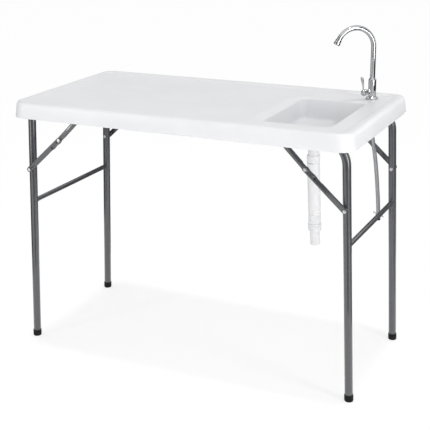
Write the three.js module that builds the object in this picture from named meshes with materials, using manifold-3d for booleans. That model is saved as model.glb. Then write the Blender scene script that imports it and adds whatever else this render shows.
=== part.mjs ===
// A fish cleaning table: a moulded top with a sink and a rimmed work area, a gooseneck tap,
// a drain, and two tube frames that fold flat under the top on hinged two-link braces.
// Millimetres. X runs along the table, Y from its front to its back, Z up.
// The origin is on the floor, under the middle of the top.

import * as THREE from "three";
import { mergeVertices } from "three/addons/utils/BufferGeometryUtils.js";
import Module from "manifold-3d";

const wasm = await Module();
wasm.setup();

// Fits
const gap = 0.3; // between two pieces that seat on each other
const overrun = 2; // how far a cutting shape passes the face that it opens

// Table top
const tableLength = 1143;
const tableWidth = 603;
const tableHeight = 840;
const panelThickness = 28;
const skirtDepth = 52;
const skirtWall = 7;
const skirtDraft = 5.5;
const skirtFootRound = 2;
const planCorner = 50;
const edgeRound = 13;
const crestWidth = 9.5;
const rimSlope = 18;
const recessDepth = 6;

// Sink basin, moulded into the top
const basinLength = 235;
const basinDepth = 72;
const basinEndMargin = 91.5;
const basinFrontMargin = 91.5;
const basinBackMargin = 146.5;
const basinCorner = 36;
const basinWall = 4.5;
const basinDraft = 5;
const basinLip = 7;
const basinFloorRound = 14;
const drainSeatRadius = 31;
const drainSeatDepth = 1.5;

// Ramp that leads from the work area into the sink
const rampRun = 25;
const rampDrop = 6.5;
const rampShoulder = 12;
const rampSideSlope = 10;
const rampCorner = 22;

// Tube frames
const tubeDiameter = 25;
const tubeWall = 1.2;
const footInsetX = 5.5;
const footInsetY = 65.5;
const splayX = 32;
const splayY = 5;
const legTopDrop = 16;
const legBendDrop = 78;
const legBendRadius = 80;
const legBendAngle = 45;
const crossbarHeight = 491;
const crossbarDiameter = 17;
const crossbarWall = 1.2;

// Foot caps
const capDiameter = 28;
const capHeight = 21;
const capFloor = 4.2;
const capEdge = 1.5;
const capEdgeRise = 2.6;

// Leg pivots, two for each frame
const leftPivotInset = 84.5;
const leftPivotDrop = 11;
const rightPivotInset = 95.5;
const rightPivotDrop = 28;
const lugThickness = 4;
const lugEyeRadius = 9.2;
const lugRootRadius = 10;
const lugRootDepth = 10;
const pivotPinDiameter = 8;
const pivotHeadDiameter = 15;
const pivotHeadHeight = 2.2;

// Pivot brackets
const bracketSheet = 2.5;
const bracketEyeRadius = 10;
const bracketHalfLength = 25;
const bracketNeckHalfWidth = 16;
const bracketShoulder = 4;
const bracketEyeStart = 190;
const bracketEyeEnd = 350;
const bracketFoot = 27;
const screwHoleDiameter = 5;

// Two-link braces
const braceFootDrop = 235;
const kneeInset = 151.5;
const kneeDrop = 124;
const braceHeadInset = 238.5;
const braceHeadDrop = 9;
const braceLaneGap = 1;
const linkSheet = 2.2;
const upperHalfWidth = 8;
const lowerHalfWidth = 8.5;
const linkFlangeSheet = 1.8;
const upperFlangeDepth = 3.5;
const upperFlangeSetback = 20;
const lowerFlangeSetback = 14;
const lowerFlangeKneeSetback = 62; // keeps the flanges clear of the upper link as it folds
const latchLength = 45;
const latchWidth = 10.8;
const latchTail = 9;
const latchSlotPlace = 12;
const latchSlotLength = 9;
const latchSlotWidth = 3;
const latchDimplePlace = 26;
const latchDimpleRadius = 3;
const latchDimpleHeight = 1.2;
const latchHolePlace = 38;
const latchHoleDiameter = 7;
const rivetDiameter = 7;
const rivetHeadDiameter = 10.8;
const rivetHeadHeight = 2;
const rivetShoulderDiameter = 12;
const braceBracketHalfLength = 24;
const braceBracketNeck = 15;
const braceBracketEye = 9;
const braceBracketFoot = 25;

// Drain
const strainerRadius = 29;
const strainerThickness = 3;
const strainerFloor = 1.8;
const strainerEdge = 1;
const strainerRings = [{ circle: 12.6, hole: 2.6 }, { circle: 8.7, hole: 1.95 }];
const strainerHoleCount = 12;
const strainerScrewRadius = 2.4;
const strainerScrewHead = 5;
const strainerScrewHeadHeight = 1.8;
const drainNeckRadius = 17;
const drainWall = 2.4;
const drainFlangeRadius = 27;
const drainFlangeHeight = 4;
const drainGasket = 3;
const drainSpiderDrop = 22;
const drainSpiderHeight = 6;
const drainSpiderWidth = 5;
const drainSpiderHub = 6;
const drainNeckDrop = 160;
const drainNutDrop = 143;
const drainNutHeight = 24;
const drainNutRadius = 20.7;
const drainNutGrooves = 12;
const drainNutChamfer = 1.5;
const drainNutGrooveRadius = 1.5;
const drainNutGrooveCircle = 21;
const drainHoseRadius = 19.4;
const drainHoseWall = 2;
const drainHoseDrop = 364;
const drainRibDrop = 316;
const drainRibPitch = 8;
const drainRibDepth = 0.9;
const drainRibCount = 5;
const drainLean = 2.4;
const cuffRadius = 20.9;
const cuffHeight = 23;
const cuffGrooveDepth = 1;
const cuffGrooveWidth = 2.4;
const spigotRadius = 15.6;
const spigotWall = 2;
const spigotDrop = 435;

// Tap
const tapEndMargin = 101.5;
const tapBackMargin = 90.5;
const tapFlangeRadius = 19.5;
const tapFlangeHeight = 8.5;
const tapFlangeRim = 2.5;
const tapShankRadius = 10;
const tapShankDrop = 70;
const tapWaterway = 6;
const tapBodyRadius = 12.2;
const tapBodyRise = 63;
const tapBodyTaper = 6;
const tapSocketDepth = 30;
const spoutRadius = 8;
const spoutWall = 1.2;
const spoutArcRise = 161;
const spoutArcRadius = 63;
const spoutArcAngle = 151.5;
const spoutHeading = 222;
const spoutStraightEnd = 8;
const aeratorRadius = 10.2;
const aeratorLength = 17;
const aeratorLap = 6;
const aeratorScreen = 2;
const aeratorHoleRadius = 1.7;
const aeratorHoleCircle = 5;
const aeratorHoleCount = 6;
const valveRise = 22;
const valveHeading = 235;
const valveDrop = 8;
const valveRootStart = 9.7;
const valveRootRadius = 7.5;
const valveNeckStart = 17;
const valveNeckRadius = 6;
const valveSeatRadius = 9;
const valveSeatReach = 27;
const valveSeatLength = 4;
const bonnetRadius = 10;
const bonnetLength = 4;
const bonnetEdge = 0.7;
const knobRadius = 9.6;
const knobLength = 8;
const knobDome = 2.4;
const leverLength = 53;
const leverRootHalfWidth = 2.2;
const leverTipHalfWidth = 5.6;
const leverTipHalfThickness = 4.2;
const leverLean = 8;
const shankWasherRadius = 17;
const shankWasherHeight = 2.5;
const shankNutRadius = 15.5;
const shankNutHeight = 8;
const couplingNutRadius = 12;
const couplingNutHeight = 17;
const couplingNutDrop = 54;
const couplingNutLip = 2;

// Supply hose
const supplyHoseRadius = 6.3;
const wingSleeveRadius = 8.4;
const wingSleeveLength = 14;
const wingSpan = 38;
const wingHeight = 7;
const wingSheet = 3;
const hoseTipRadius = 6.6;
const hoseTipLength = 11;
const hoseTipBore = 3.5;

// Sides of the round pieces, and steps along their bends
const tubeSides = 16;
const smallSides = 10;
const bodySides = 18;
const studSides = 6;
const cornerSteps = 6;
const edgeSteps = 4;
const legBendSteps = 5;
const spoutBendSteps = 12;
const eyeSteps = 6;

// Shapes as shares of a piece's own sizes, mostly [how far in or along, how far up or out]
const rimSlopeShares = [[0, 0], [0.35, 0.14], [0.72, 0.76], [1, 1]];
const basinFloorShares = [[1, 0], [0.38, 0.2], [0.08, 0.6], [0, 1]];
const basinLipShares = [[1, 0], [0.72, 0.55], [0.38, 0.86], [0, 1]];
const basinUnderShares = [[1, 0.4, 0], [0.3, 0.6, 0.16], [0, 1, 1]];
const rampShares = [[1, 1], [0.16, 0.12], [0, 0]];
const headShares = [[1, 0], [1, 0.4], [0.65, 1], [0, 1]];
const latchTailShares = [[0.5, -1], [1, -0.5], [1, 0.8]];
const latchShares = [[-0.12, 0.84], [-0.02, 1], [0.12, 0.93], [0.33, 0.8], [0.52, 0.92], [0.72, 1], [0.87, 0.91]];
const latchMiddleShare = 0.35;
const screwSetbackShare = 0.6;
const screwSpreadShare = 0.7;
const drainRibShare = 0.3;
const cuffGrooveShares = [0.36, 0.7];
const tapFlangeDishShare = 0.55;
const aeratorShares = [[1, 0.55], [0.95, 0.62], [0.95, 1]];
const aeratorBoreShare = 0.8;
const knobDomeShares = [[1, 1], [0.8, 0.3], [0.45, 0], [0, 0]];
const leverShares = [
  [0.15, 0, 0.4], [0.3, 0.05, 0.42], [0.55, 0.35, 0.6], [0.75, 0.75, 0.85],
  [0.9, 1, 1], [0.97, 0.8, 0.8], [1, 0.35, 0.35],
];
const wingPlaceShare = 0.45;
const hoseTipShares = [[1, 0.8], [0.9, 1]];
const hoseTipFloorShare = 0.4;

// Places that follow from the top's length and width
const tableEndX = tableLength / 2;
const tableEdgeY = tableWidth / 2;
const basinWidth = tableWidth - basinFrontMargin - basinBackMargin;
const basinCentreX = tableEndX - basinEndMargin - basinLength / 2;
const basinCentreY = (basinFrontMargin - basinBackMargin) / 2;
const footReachX = tableEndX - footInsetX;
const footReachY = tableEdgeY - footInsetY;
const leftPivotReach = tableEndX - leftPivotInset;
const rightPivotReach = tableEndX - rightPivotInset;
const kneeReach = tableEndX - kneeInset;
const braceHeadReach = tableEndX - braceHeadInset;
const tapX = tableEndX - tapEndMargin;
const tapY = tableEdgeY - tapBackMargin;

// Heights that follow
const underside = tableHeight - panelThickness;
const skirtFoot = tableHeight - skirtDepth;
const recessFloor = tableHeight - recessDepth;
const basinFloor = recessFloor - basinDepth;
const basinUnder = basinFloor - basinWall;
const seatHeight = underside - gap;
const braceFootHeight = tableHeight - braceFootDrop;
const kneeHeight = tableHeight - kneeDrop;
const drainNeckEnd = tableHeight - drainNeckDrop;
const drainNutTop = tableHeight - drainNutDrop;
const drainHoseEnd = tableHeight - drainHoseDrop;
const drainRibTop = tableHeight - drainRibDrop;
const spigotEnd = tableHeight - spigotDrop;
const tapShankEnd = tableHeight - tapShankDrop;
const tapBodyTop = tableHeight + tapBodyRise;
const spoutArcHeight = tableHeight + spoutArcRise;
const valveHeight = tableHeight + valveRise;
const couplingNutTop = tableHeight - couplingNutDrop;

const rad = THREE.MathUtils.degToRad;
const vec = (x, y, z) => new THREE.Vector3(x, y, z);
const across = vec(0, 1, 0);
const up = vec(0, 0, 1);

// Finishes

const finish = (color, roughness, metalness) =>
  new THREE.MeshStandardMaterial({ color, roughness, metalness });
const finishes = {
  moulding: finish(0xf1f1f4, 0.55, 0),
  frameCoat: finish(0x66666c, 0.45, 0.5),
  rubber: finish(0x17171a, 0.75, 0),
  zinc: finish(0xc9c9cb, 0.35, 0.9),
  chrome: finish(0xd6d8da, 0.12, 1),
  pipe: finish(0xefeff0, 0.5, 0),
  braid: finish(0xa9abad, 0.4, 0.7),
};

// Solids

function bareGeometry(geometry) {
  const points = geometry.clone();
  points.deleteAttribute("normal");
  points.deleteAttribute("uv");
  const merged = mergeVertices(points);
  const corners = merged.index.array;
  const kept = [];
  for (let i = 0; i < corners.length; i += 3) {
    const [a, b, c] = [corners[i], corners[i + 1], corners[i + 2]];
    if (a !== b && b !== c && c !== a) kept.push(a, b, c);
  }
  merged.setIndex(kept);
  return merged;
}

function signedVolume(geometry) {
  const place = geometry.attributes.position;
  const corners = geometry.index.array;
  const [a, b, c] = [vec(0, 0, 0), vec(0, 0, 0), vec(0, 0, 0)];
  let total = 0;
  for (let i = 0; i < corners.length; i += 3) {
    a.fromBufferAttribute(place, corners[i]);
    b.fromBufferAttribute(place, corners[i + 1]);
    c.fromBufferAttribute(place, corners[i + 2]);
    total += a.dot(b.cross(c)) / 6;
  }
  return total;
}

function outward(geometry) {
  const shell = bareGeometry(geometry);
  if (signedVolume(shell) < 0) {
    const corners = Array.from(shell.index.array);
    for (let i = 0; i < corners.length; i += 3) {
      [corners[i + 1], corners[i + 2]] = [corners[i + 2], corners[i + 1]];
    }
    shell.setIndex(corners);
  }
  return shell;
}

function toSolid(geometry) {
  const shell = outward(geometry);
  return new wasm.Manifold(new wasm.Mesh({
    numProp: 3,
    vertProperties: new Float32Array(shell.attributes.position.array),
    triVerts: new Uint32Array(shell.index.array),
  }));
}

function toGeometry(solid) {
  const mesh = solid.getMesh();
  const places = new Float32Array(mesh.numVert * 3);
  for (let i = 0; i < mesh.numVert; i += 1) {
    for (let k = 0; k < 3; k += 1) places[3 * i + k] = mesh.vertProperties[mesh.numProp * i + k];
  }
  const geometry = new THREE.BufferGeometry();
  geometry.setAttribute("position", new THREE.BufferAttribute(places, 3));
  geometry.setIndex(Array.from(mesh.triVerts));
  return geometry;
}

function shaped(base, { joined = [], cut = [] }) {
  let solid = toSolid(base);
  for (const piece of joined) solid = solid.add(toSolid(piece));
  for (const piece of cut) solid = solid.subtract(toSolid(piece));
  return toGeometry(solid);
}

// Forms

// A loft through closed outlines of equal point count, closed at both ends by a fan.
function loft(outlines) {
  const count = outlines[0].length;
  const places = outlines.flat().flatMap((point) => [point.x, point.y, point.z]);
  const corners = [];
  for (let row = 0; row + 1 < outlines.length; row += 1) {
    for (let i = 0; i < count; i += 1) {
      const a = row * count + i;
      const b = row * count + ((i + 1) % count);
      corners.push(a, b, b + count, a, b + count, a + count);
    }
  }
  const last = (outlines.length - 1) * count;
  for (let i = 1; i + 1 < count; i += 1) {
    corners.push(0, i + 1, i);
    corners.push(last, last + i, last + i + 1);
  }
  const geometry = new THREE.BufferGeometry();
  geometry.setAttribute("position", new THREE.Float32BufferAttribute(places, 3));
  geometry.setIndex(corners);
  return geometry;
}

// A rectangle with round corners at one height.
function roundedOutline(halfX, halfY, corner, z, centreX = 0, centreY = 0) {
  const points = [];
  const quarters = [[1, 1], [-1, 1], [-1, -1], [1, -1]];
  quarters.forEach(([signX, signY], quarter) => {
    for (let i = 0; i <= cornerSteps; i += 1) {
      const turn = (quarter + i / cornerSteps) * Math.PI / 2;
      points.push(vec(
        centreX + signX * (halfX - corner) + corner * Math.cos(turn),
        centreY + signY * (halfY - corner) + corner * Math.sin(turn),
        z,
      ));
    }
  });
  return points;
}

// A stack of rounded rectangles, each given as [how far inside the outline, height].
function ringStack(halfX, halfY, corner, levels, centreX = 0, centreY = 0) {
  return loft(levels.map(([inset, z]) =>
    roundedOutline(halfX - inset, halfY - inset, corner - inset, z, centreX, centreY)));
}

// A body turned about Z from [radius, height] points.
function turned(profile, sides = bodySides) {
  const points = profile.map(([radius, height]) => new THREE.Vector2(radius, height));
  return new THREE.LatheGeometry(points, sides).rotateX(Math.PI / 2);
}

// A body turned about Y from [radius, distance along Y] points.
function turnedAcross(profile, sides = smallSides) {
  const points = profile.map(([radius, along]) => new THREE.Vector2(radius, along));
  return new THREE.LatheGeometry(points, sides);
}

function rod(radius, from, to, sides = smallSides) {
  return turned([[0, from], [radius, from], [radius, to], [0, to]], sides);
}

function rodAcross(radius, length, x, z, sides = smallSides) {
  return new THREE.CylinderGeometry(radius, radius, length, sides).translate(x, 0, z);
}

function block(sizeX, sizeY, sizeZ, x, y, z) {
  return new THREE.BoxGeometry(sizeX, sizeY, sizeZ).translate(x, y, z);
}

function circlePoints(radius, sides, x = 0, y = 0) {
  return Array.from({ length: sides }, (_, i) => new THREE.Vector2(
    x + radius * Math.cos(2 * Math.PI * i / sides),
    y + radius * Math.sin(2 * Math.PI * i / sides),
  ));
}

function ringShape(outer, inner, sides) {
  const shape = new THREE.Shape(circlePoints(outer, sides));
  if (inner > 0) shape.holes.push(new THREE.Path(circlePoints(inner, sides)));
  return shape;
}

// A path that an extrusion follows station by station, so that bends get the steps.
class StationPath extends THREE.Curve {
  constructor(points, tangents) {
    super();
    this.points = points;
    this.tangents = tangents;
  }

  between(list, share, target) {
    const place = share * (list.length - 1);
    const first = Math.min(Math.floor(place), list.length - 2);
    return target.lerpVectors(list[first], list[first + 1], place - first);
  }

  getPoint(share, target = new THREE.Vector3()) {
    return this.between(this.points, share, target);
  }

  getPointAt(share, target = new THREE.Vector3()) {
    return this.between(this.points, share, target);
  }

  getTangentAt(share, target = new THREE.Vector3()) {
    return this.between(this.tangents, share, target).normalize();
  }
}

function tubeAlong(path, outer, inner, sides = tubeSides) {
  return new THREE.ExtrudeGeometry(ringShape(outer, inner, sides), {
    steps: path.points.length - 1,
    extrudePath: path,
    bevelEnabled: false,
  });
}

// Stations of a run that starts straight, bends in the plane of its two directions and ends.
function bentPath(start, heading, toward, straight, radius, angle, tail, steps) {
  const points = [start.clone()];
  const tangents = [heading.clone()];
  const bendStart = start.clone().addScaledVector(heading, straight);
  for (let i = 0; i <= steps; i += 1) {
    const turn = angle * i / steps;
    points.push(bendStart.clone()
      .addScaledVector(heading, radius * Math.sin(turn))
      .addScaledVector(toward, radius * (1 - Math.cos(turn))));
    tangents.push(heading.clone().multiplyScalar(Math.cos(turn))
      .addScaledVector(toward, Math.sin(turn)));
  }
  if (tail > 0) {
    points.push(points.at(-1).clone().addScaledVector(tangents.at(-1), tail));
    tangents.push(tangents.at(-1).clone());
  }
  return new StationPath(points, tangents);
}

// Sheet cut to an outline in the XZ plane, from y = 0 outwards to its thickness.
function sheetPlate(outline, holes, thickness) {
  const shape = new THREE.Shape(outline);
  for (const hole of holes) shape.holes.push(new THREE.Path(hole));
  return new THREE.ExtrudeGeometry(shape, { depth: thickness, bevelEnabled: false })
    .rotateX(Math.PI / 2)
    .translate(0, thickness, 0);
}

function arcPoints(x, y, radius, from, to, steps) {
  return Array.from({ length: steps + 1 }, (_, i) => {
    const turn = rad(from + (to - from) * i / steps);
    return new THREE.Vector2(x + radius * Math.cos(turn), y + radius * Math.sin(turn));
  });
}

// The outline of a bar between two round ends of different radius.
function barOutline(fromX, fromZ, fromRadius, toX, toZ, toRadius) {
  const reach = Math.hypot(toX - fromX, toZ - fromZ);
  const heading = THREE.MathUtils.radToDeg(Math.atan2(toZ - fromZ, toX - fromX));
  const open = THREE.MathUtils.radToDeg(Math.acos((fromRadius - toRadius) / reach));
  return [
    ...arcPoints(toX, toZ, toRadius, heading - open, heading + open, eyeSteps),
    ...arcPoints(fromX, fromZ, fromRadius, heading + open, heading + 360 - open, eyeSteps),
  ];
}

// Profile points of a domed head that starts at a height, and of one that hangs below it.
const headAbove = (radius, height, start) =>
  headShares.map(([wide, rise]) => [radius * wide, start + height * rise]);
const headBelow = (radius, height, start) => headAbove(radius, -height, start).reverse();

// Assembly

const group = new THREE.Group();

function addPiece(name, geometry, material, parent = group) {
  const mesh = new THREE.Mesh(outward(geometry), material);
  mesh.name = name;
  parent.add(mesh);
  return mesh;
}

function standAt(mesh, place, alongX, alongY) {
  const alongZ = alongX.clone().cross(alongY);
  const axes = new THREE.Matrix4().makeBasis(alongX, alongY, alongZ);
  mesh.quaternion.setFromRotationMatrix(axes);
  mesh.position.copy(place);
  return mesh;
}

// Table top

function tableTop() {
  const arcStart = tableHeight - edgeRound;
  const crest = skirtDraft + edgeRound;
  const crestEnd = crest + crestWidth;
  const rim = Array.from({ length: edgeSteps + 1 }, (_, i) => {
    const turn = Math.PI / 2 * i / edgeSteps;
    return [crest - edgeRound * Math.cos(turn), arcStart + edgeRound * Math.sin(turn)];
  });
  const outer = ringStack(tableEndX, tableEdgeY, planCorner, [
    [skirtFootRound, skirtFoot],
    [0, skirtFoot + skirtFootRound],
    ...rim,
  ]);
  const recess = ringStack(tableEndX, tableEdgeY, planCorner, [
    ...rimSlopeShares.map(([run, rise]) =>
      [crestEnd + rimSlope * (1 - run), recessFloor + recessDepth * rise]),
    [crestEnd, tableHeight + overrun],
  ]);
  const wallTop = skirtWall + skirtDraft * (underside - skirtFoot) / (arcStart - skirtFoot);
  const pocket = ringStack(tableEndX, tableEdgeY, planCorner, [
    [skirtWall, skirtFoot - overrun],
    [wallTop, underside],
  ]);
  const basinHalfX = basinLength / 2;
  const basinHalfY = basinWidth / 2;
  const wallFoot = basinLip + basinDraft;
  const lipLow = recessFloor - basinLip;
  const basinInside = ringStack(basinHalfX, basinHalfY, basinCorner, [
    ...basinFloorShares.map(([inset, rise]) =>
      [wallFoot + basinFloorRound * inset, basinFloor + basinFloorRound * rise]),
    ...basinLipShares.map(([inset, rise]) => [basinLip * inset, lipLow + basinLip * rise]),
    [0, recessFloor + overrun],
  ], basinCentreX, basinCentreY);
  const shellTop = underside + overrun;
  const shellTopDraft = basinDraft * (lipLow - shellTop) / (lipLow - basinFloor - basinFloorRound);
  const basinOutside = ringStack(basinHalfX, basinHalfY, basinCorner, [
    ...basinUnderShares.map(([inset, wall, rise]) =>
      [wallFoot + basinFloorRound * inset - basinWall * wall, basinUnder + basinFloorRound * rise]),
    [basinLip + shellTopDraft - basinWall, shellTop],
  ], basinCentreX, basinCentreY);
  const rampLeft = basinCentreX - basinHalfX;
  const rampHalfY = basinHalfY - rampShoulder;
  const rampOutline = (leftX, halfSpan, z) => roundedOutline(
    (basinCentreX - leftX) / 2, halfSpan, rampCorner, z, (basinCentreX + leftX) / 2, basinCentreY);
  const rampTop = rampLeft - rampRun;
  const rampReach = rampRun + basinLip;
  const ramp = loft([
    ...rampShares.map(([inward, drop]) => rampOutline(
      rampTop + rampReach * inward, rampHalfY - rampSideSlope * inward, recessFloor - rampDrop * drop)),
    rampOutline(rampTop, rampHalfY, recessFloor + overrun),
  ]);
  const drainSeat = rod(drainSeatRadius, basinFloor - drainSeatDepth, basinFloor + overrun, bodySides)
    .translate(basinCentreX, basinCentreY, 0);
  const drainHole = rod(drainNeckRadius + gap, basinUnder - overrun, basinFloor + overrun, bodySides)
    .translate(basinCentreX, basinCentreY, 0);
  const tapHole = rod(tapShankRadius + gap, underside - overrun, tableHeight, bodySides)
    .translate(tapX, tapY, 0);
  let body = toSolid(outer).subtract(toSolid(recess)).subtract(toSolid(pocket));
  body = body.add(toSolid(basinOutside));
  for (const cutter of [basinInside, ramp, drainSeat, drainHole, tapHole]) {
    body = body.subtract(toSolid(cutter));
  }
  return toGeometry(body);
}

addPiece("table_top", tableTop(), finishes.moulding);

// Frames

const sides = [
  {
    name: "right",
    sign: 1,
    pivotX: rightPivotReach,
    pivotZ: underside - rightPivotDrop,
    bent: true,
  },
  {
    name: "left",
    sign: -1,
    pivotX: leftPivotReach,
    pivotZ: underside - leftPivotDrop,
    bent: false,
  },
];
const ends = [
  { name: "front", sign: -1 },
  { name: "back", sign: 1 },
];

// Where a leg's centreline is at a height, as distances from the table's middle.
const legLineX = (z) => footReachX - splayX * z / skirtFoot;
const legLineY = (z) => footReachY - splayY * z / skirtFoot;

// A leg's own axes: Z up along it, X away from the table's middle.
function legAxes(side, end) {
  const alongZ = vec(-side.sign * splayX, -end.sign * splayY, skirtFoot).normalize();
  const outX = vec(side.sign, 0, 0);
  const alongX = outX.addScaledVector(alongZ, -outX.dot(alongZ)).normalize();
  return { alongX, alongY: alongZ.clone().cross(alongX), alongZ };
}

const legFoot = (side, end) => vec(side.sign * footReachX, end.sign * footReachY, 0);

function legMatrix(side, end) {
  const { alongX, alongY, alongZ } = legAxes(side, end);
  return new THREE.Matrix4().makeBasis(alongX, alongY, alongZ).setPosition(legFoot(side, end));
}

function legGeometry(side) {
  const end = ends[1];
  const toLeg = legMatrix(side, end).invert();
  const onLeg = (x, z) => vec(side.sign * x, legLineY(z), z).applyMatrix4(toLeg);
  const radius = tubeDiameter / 2;
  const start = vec(0, 0, capFloor + gap);
  const pivot = onLeg(side.pivotX, side.pivotZ);
  let path;
  let root;
  if (side.bent) {
    const straight = underside - legBendDrop - start.z;
    path = bentPath(start, up, vec(-1, 0, 0), straight, legBendRadius, rad(legBendAngle), 0, legBendSteps);
    root = path.points.at(-1).clone().addScaledVector(path.tangents.at(-1), -lugRootDepth);
  } else {
    const top = underside - legTopDrop;
    path = new StationPath([start, vec(0, 0, top)], [up, up]);
    root = vec(0, 0, top - lugRootDepth);
  }
  const tube = tubeAlong(path, radius, radius - tubeWall);
  const lug = sheetPlate(
    barOutline(root.x, root.z, lugRootRadius, pivot.x, pivot.z, lugEyeRadius),
    [circlePoints(pivotPinDiameter / 2 + gap, smallSides, pivot.x, pivot.z)],
    lugThickness,
  ).translate(0, -lugThickness / 2, 0);
  const braceFoot = onLeg(legLineX(braceFootHeight), braceFootHeight);
  const rivetHole = rodAcross(rivetDiameter / 2 + gap, tubeDiameter + overrun, braceFoot.x, braceFoot.z);
  return shaped(tube, { joined: [lug], cut: [rivetHole] });
}

// A moulded cup over the leg's end, cut level with the floor.
function capGeometry(side, end) {
  const radius = capDiameter / 2;
  const bore = tubeDiameter / 2 + gap;
  const cup = turned([
    [0, -overrun],
    [radius - capEdge, -overrun],
    [radius - capEdge, 0],
    [radius, capEdgeRise],
    [radius, capHeight - capEdge / 2],
    [radius - capEdge / 3, capHeight],
    [bore, capHeight],
    [bore, capFloor],
    [0, capFloor],
  ], tubeSides);
  const { alongX, alongY, alongZ } = legAxes(side, end);
  cup.applyMatrix4(new THREE.Matrix4().makeBasis(alongX, alongY, alongZ));
  const floor = block(2 * capDiameter, 2 * capDiameter, capHeight, 0, 0, -capHeight / 2);
  return shaped(cup, { cut: [floor] });
}

function crossbarGeometry(side) {
  const half = legLineY(crossbarHeight);
  const radius = crossbarDiameter / 2;
  const path = new StationPath([vec(0, -half, 0), vec(0, half, 0)], [across, across]);
  const bar = tubeAlong(path, radius, radius - crossbarWall, smallSides);
  const barPlace = vec(side.sign * legLineX(crossbarHeight), 0, crossbarHeight);
  const legs = ends.map((end) =>
    rod(tubeDiameter / 2 + gap, crossbarHeight - tubeDiameter, crossbarHeight + tubeDiameter, tubeSides)
      .applyMatrix4(legMatrix(side, end))
      .translate(-barPlace.x, 0, -barPlace.z));
  return shaped(bar, { cut: legs });
}

// Braces
// The links lie in two lanes outside the legs, past the reach of the foot caps.

const linkLane = footReachY + capDiameter / 2 + braceLaneGap;
const lowerWebLane = linkLane + linkSheet + gap;
const braceFootX = legLineX(braceFootHeight);
const braceHeadHeight = underside - braceHeadDrop;
const lowerLength = Math.hypot(braceFootX - kneeReach, kneeHeight - braceFootHeight);
const upperLength = Math.hypot(kneeReach - braceHeadReach, braceHeadHeight - kneeHeight);
const linkHoleRadius = rivetDiameter / 2 + gap;

// The upper link runs along X from its bracket to the knee. Its flanges and its rivet boss
// stand on the inner face.
function upperLinkGeometry() {
  const web = sheetPlate(
    barOutline(0, 0, upperHalfWidth, upperLength, 0, upperHalfWidth),
    [circlePoints(linkHoleRadius, smallSides)],
    linkSheet,
  );
  const flangeLength = upperLength - 2 * upperFlangeSetback;
  const flanges = [-1, 1].map((sign) => block(
    flangeLength,
    upperFlangeDepth + linkSheet / 2,
    linkFlangeSheet,
    upperLength / 2,
    (linkSheet / 2 - upperFlangeDepth) / 2,
    sign * (upperHalfWidth - linkFlangeSheet / 2),
  ));
  const boss = turnedAcross([
    ...headBelow(rivetHeadDiameter / 2, rivetHeadHeight, 0),
    [rivetHeadDiameter / 2, linkSheet / 2],
    [0, linkSheet / 2],
  ]).translate(upperLength, 0, 0);
  return shaped(web, { joined: [...flanges, boss] });
}

// The lower link runs along X from the leg to the knee, where it widens into the latch plate
// that keeps the brace straight.
function lowerLinkGeometry() {
  const edge = lowerHalfWidth;
  const knee = lowerLength;
  const outline = [
    ...arcPoints(0, 0, edge, 90, 270, eyeSteps),
    ...latchTailShares.map(([along, out]) => new THREE.Vector2(knee + latchTail * along, edge * out)),
    ...latchShares.map(([along, out]) =>
      new THREE.Vector2(knee - latchLength * along, latchWidth * out)),
    new THREE.Vector2(knee - latchLength, edge),
  ];
  const slotX = knee - latchSlotPlace;
  const slotReach = (latchSlotLength - latchSlotWidth) / 2;
  const slotRound = latchSlotWidth / 2;
  const slot = [
    ...arcPoints(slotX, slotReach, slotRound, 0, 180, 4),
    ...arcPoints(slotX, -slotReach, slotRound, 180, 360, 4),
  ];
  const latchMiddle = edge * latchMiddleShare;
  const web = sheetPlate(outline, [
    circlePoints(linkHoleRadius, smallSides),
    circlePoints(linkHoleRadius, smallSides, knee, 0),
    slot,
    circlePoints(latchHoleDiameter / 2, smallSides, knee - latchHolePlace, latchMiddle),
  ], linkSheet);
  const flangeDepth = lowerWebLane - linkLane;
  const flangeLength = knee - lowerFlangeKneeSetback - lowerFlangeSetback;
  const flanges = [-1, 1].map((sign) => block(
    flangeLength,
    flangeDepth + linkSheet / 2,
    linkFlangeSheet,
    lowerFlangeSetback + flangeLength / 2,
    (linkSheet / 2 - flangeDepth) / 2,
    sign * (edge - linkFlangeSheet / 2),
  ));
  const dimple = turnedAcross([
    [0, linkSheet / 2],
    [latchDimpleRadius, linkSheet / 2],
    ...headAbove(latchDimpleRadius, latchDimpleHeight, linkSheet),
  ]).translate(knee - latchDimplePlace, 0, latchMiddle);
  return shaped(web, { joined: [...flanges, dimple] });
}

// A shouldered rivet through the leg, along Y from the leg's centreline.
function legRivetGeometry() {
  const legSide = tubeDiameter / 2 + gap;
  const legY = legLineY(braceFootHeight);
  const shoulderEnd = lowerWebLane - gap - legY;
  const headStart = lowerWebLane + linkSheet + gap - legY;
  const shank = rivetDiameter / 2;
  const head = rivetHeadDiameter / 2;
  return turnedAcross([
    ...headBelow(head, rivetHeadHeight, -legSide),
    [shank, -legSide],
    [shank, legSide],
    [rivetShoulderDiameter / 2, legSide],
    [rivetShoulderDiameter / 2, shoulderEnd],
    [shank, shoulderEnd],
    [shank, headStart],
    ...headAbove(head, rivetHeadHeight, headStart),
  ]);
}

// The knee rivet's outer half, which sits in the lower link's web.
function kneeRivetGeometry() {
  const shank = rivetDiameter / 2;
  const head = rivetHeadDiameter / 2;
  const headStart = linkSheet + gap;
  return turnedAcross([
    [0, 0],
    [shank, 0],
    [shank, headStart],
    ...headAbove(head, rivetHeadHeight, headStart),
  ]);
}

// Angle brackets
// Each hangs a wall from a foot that is screwed to the underside. The wall starts at y = 0 and
// the foot runs to the side that footSign gives.

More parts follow.
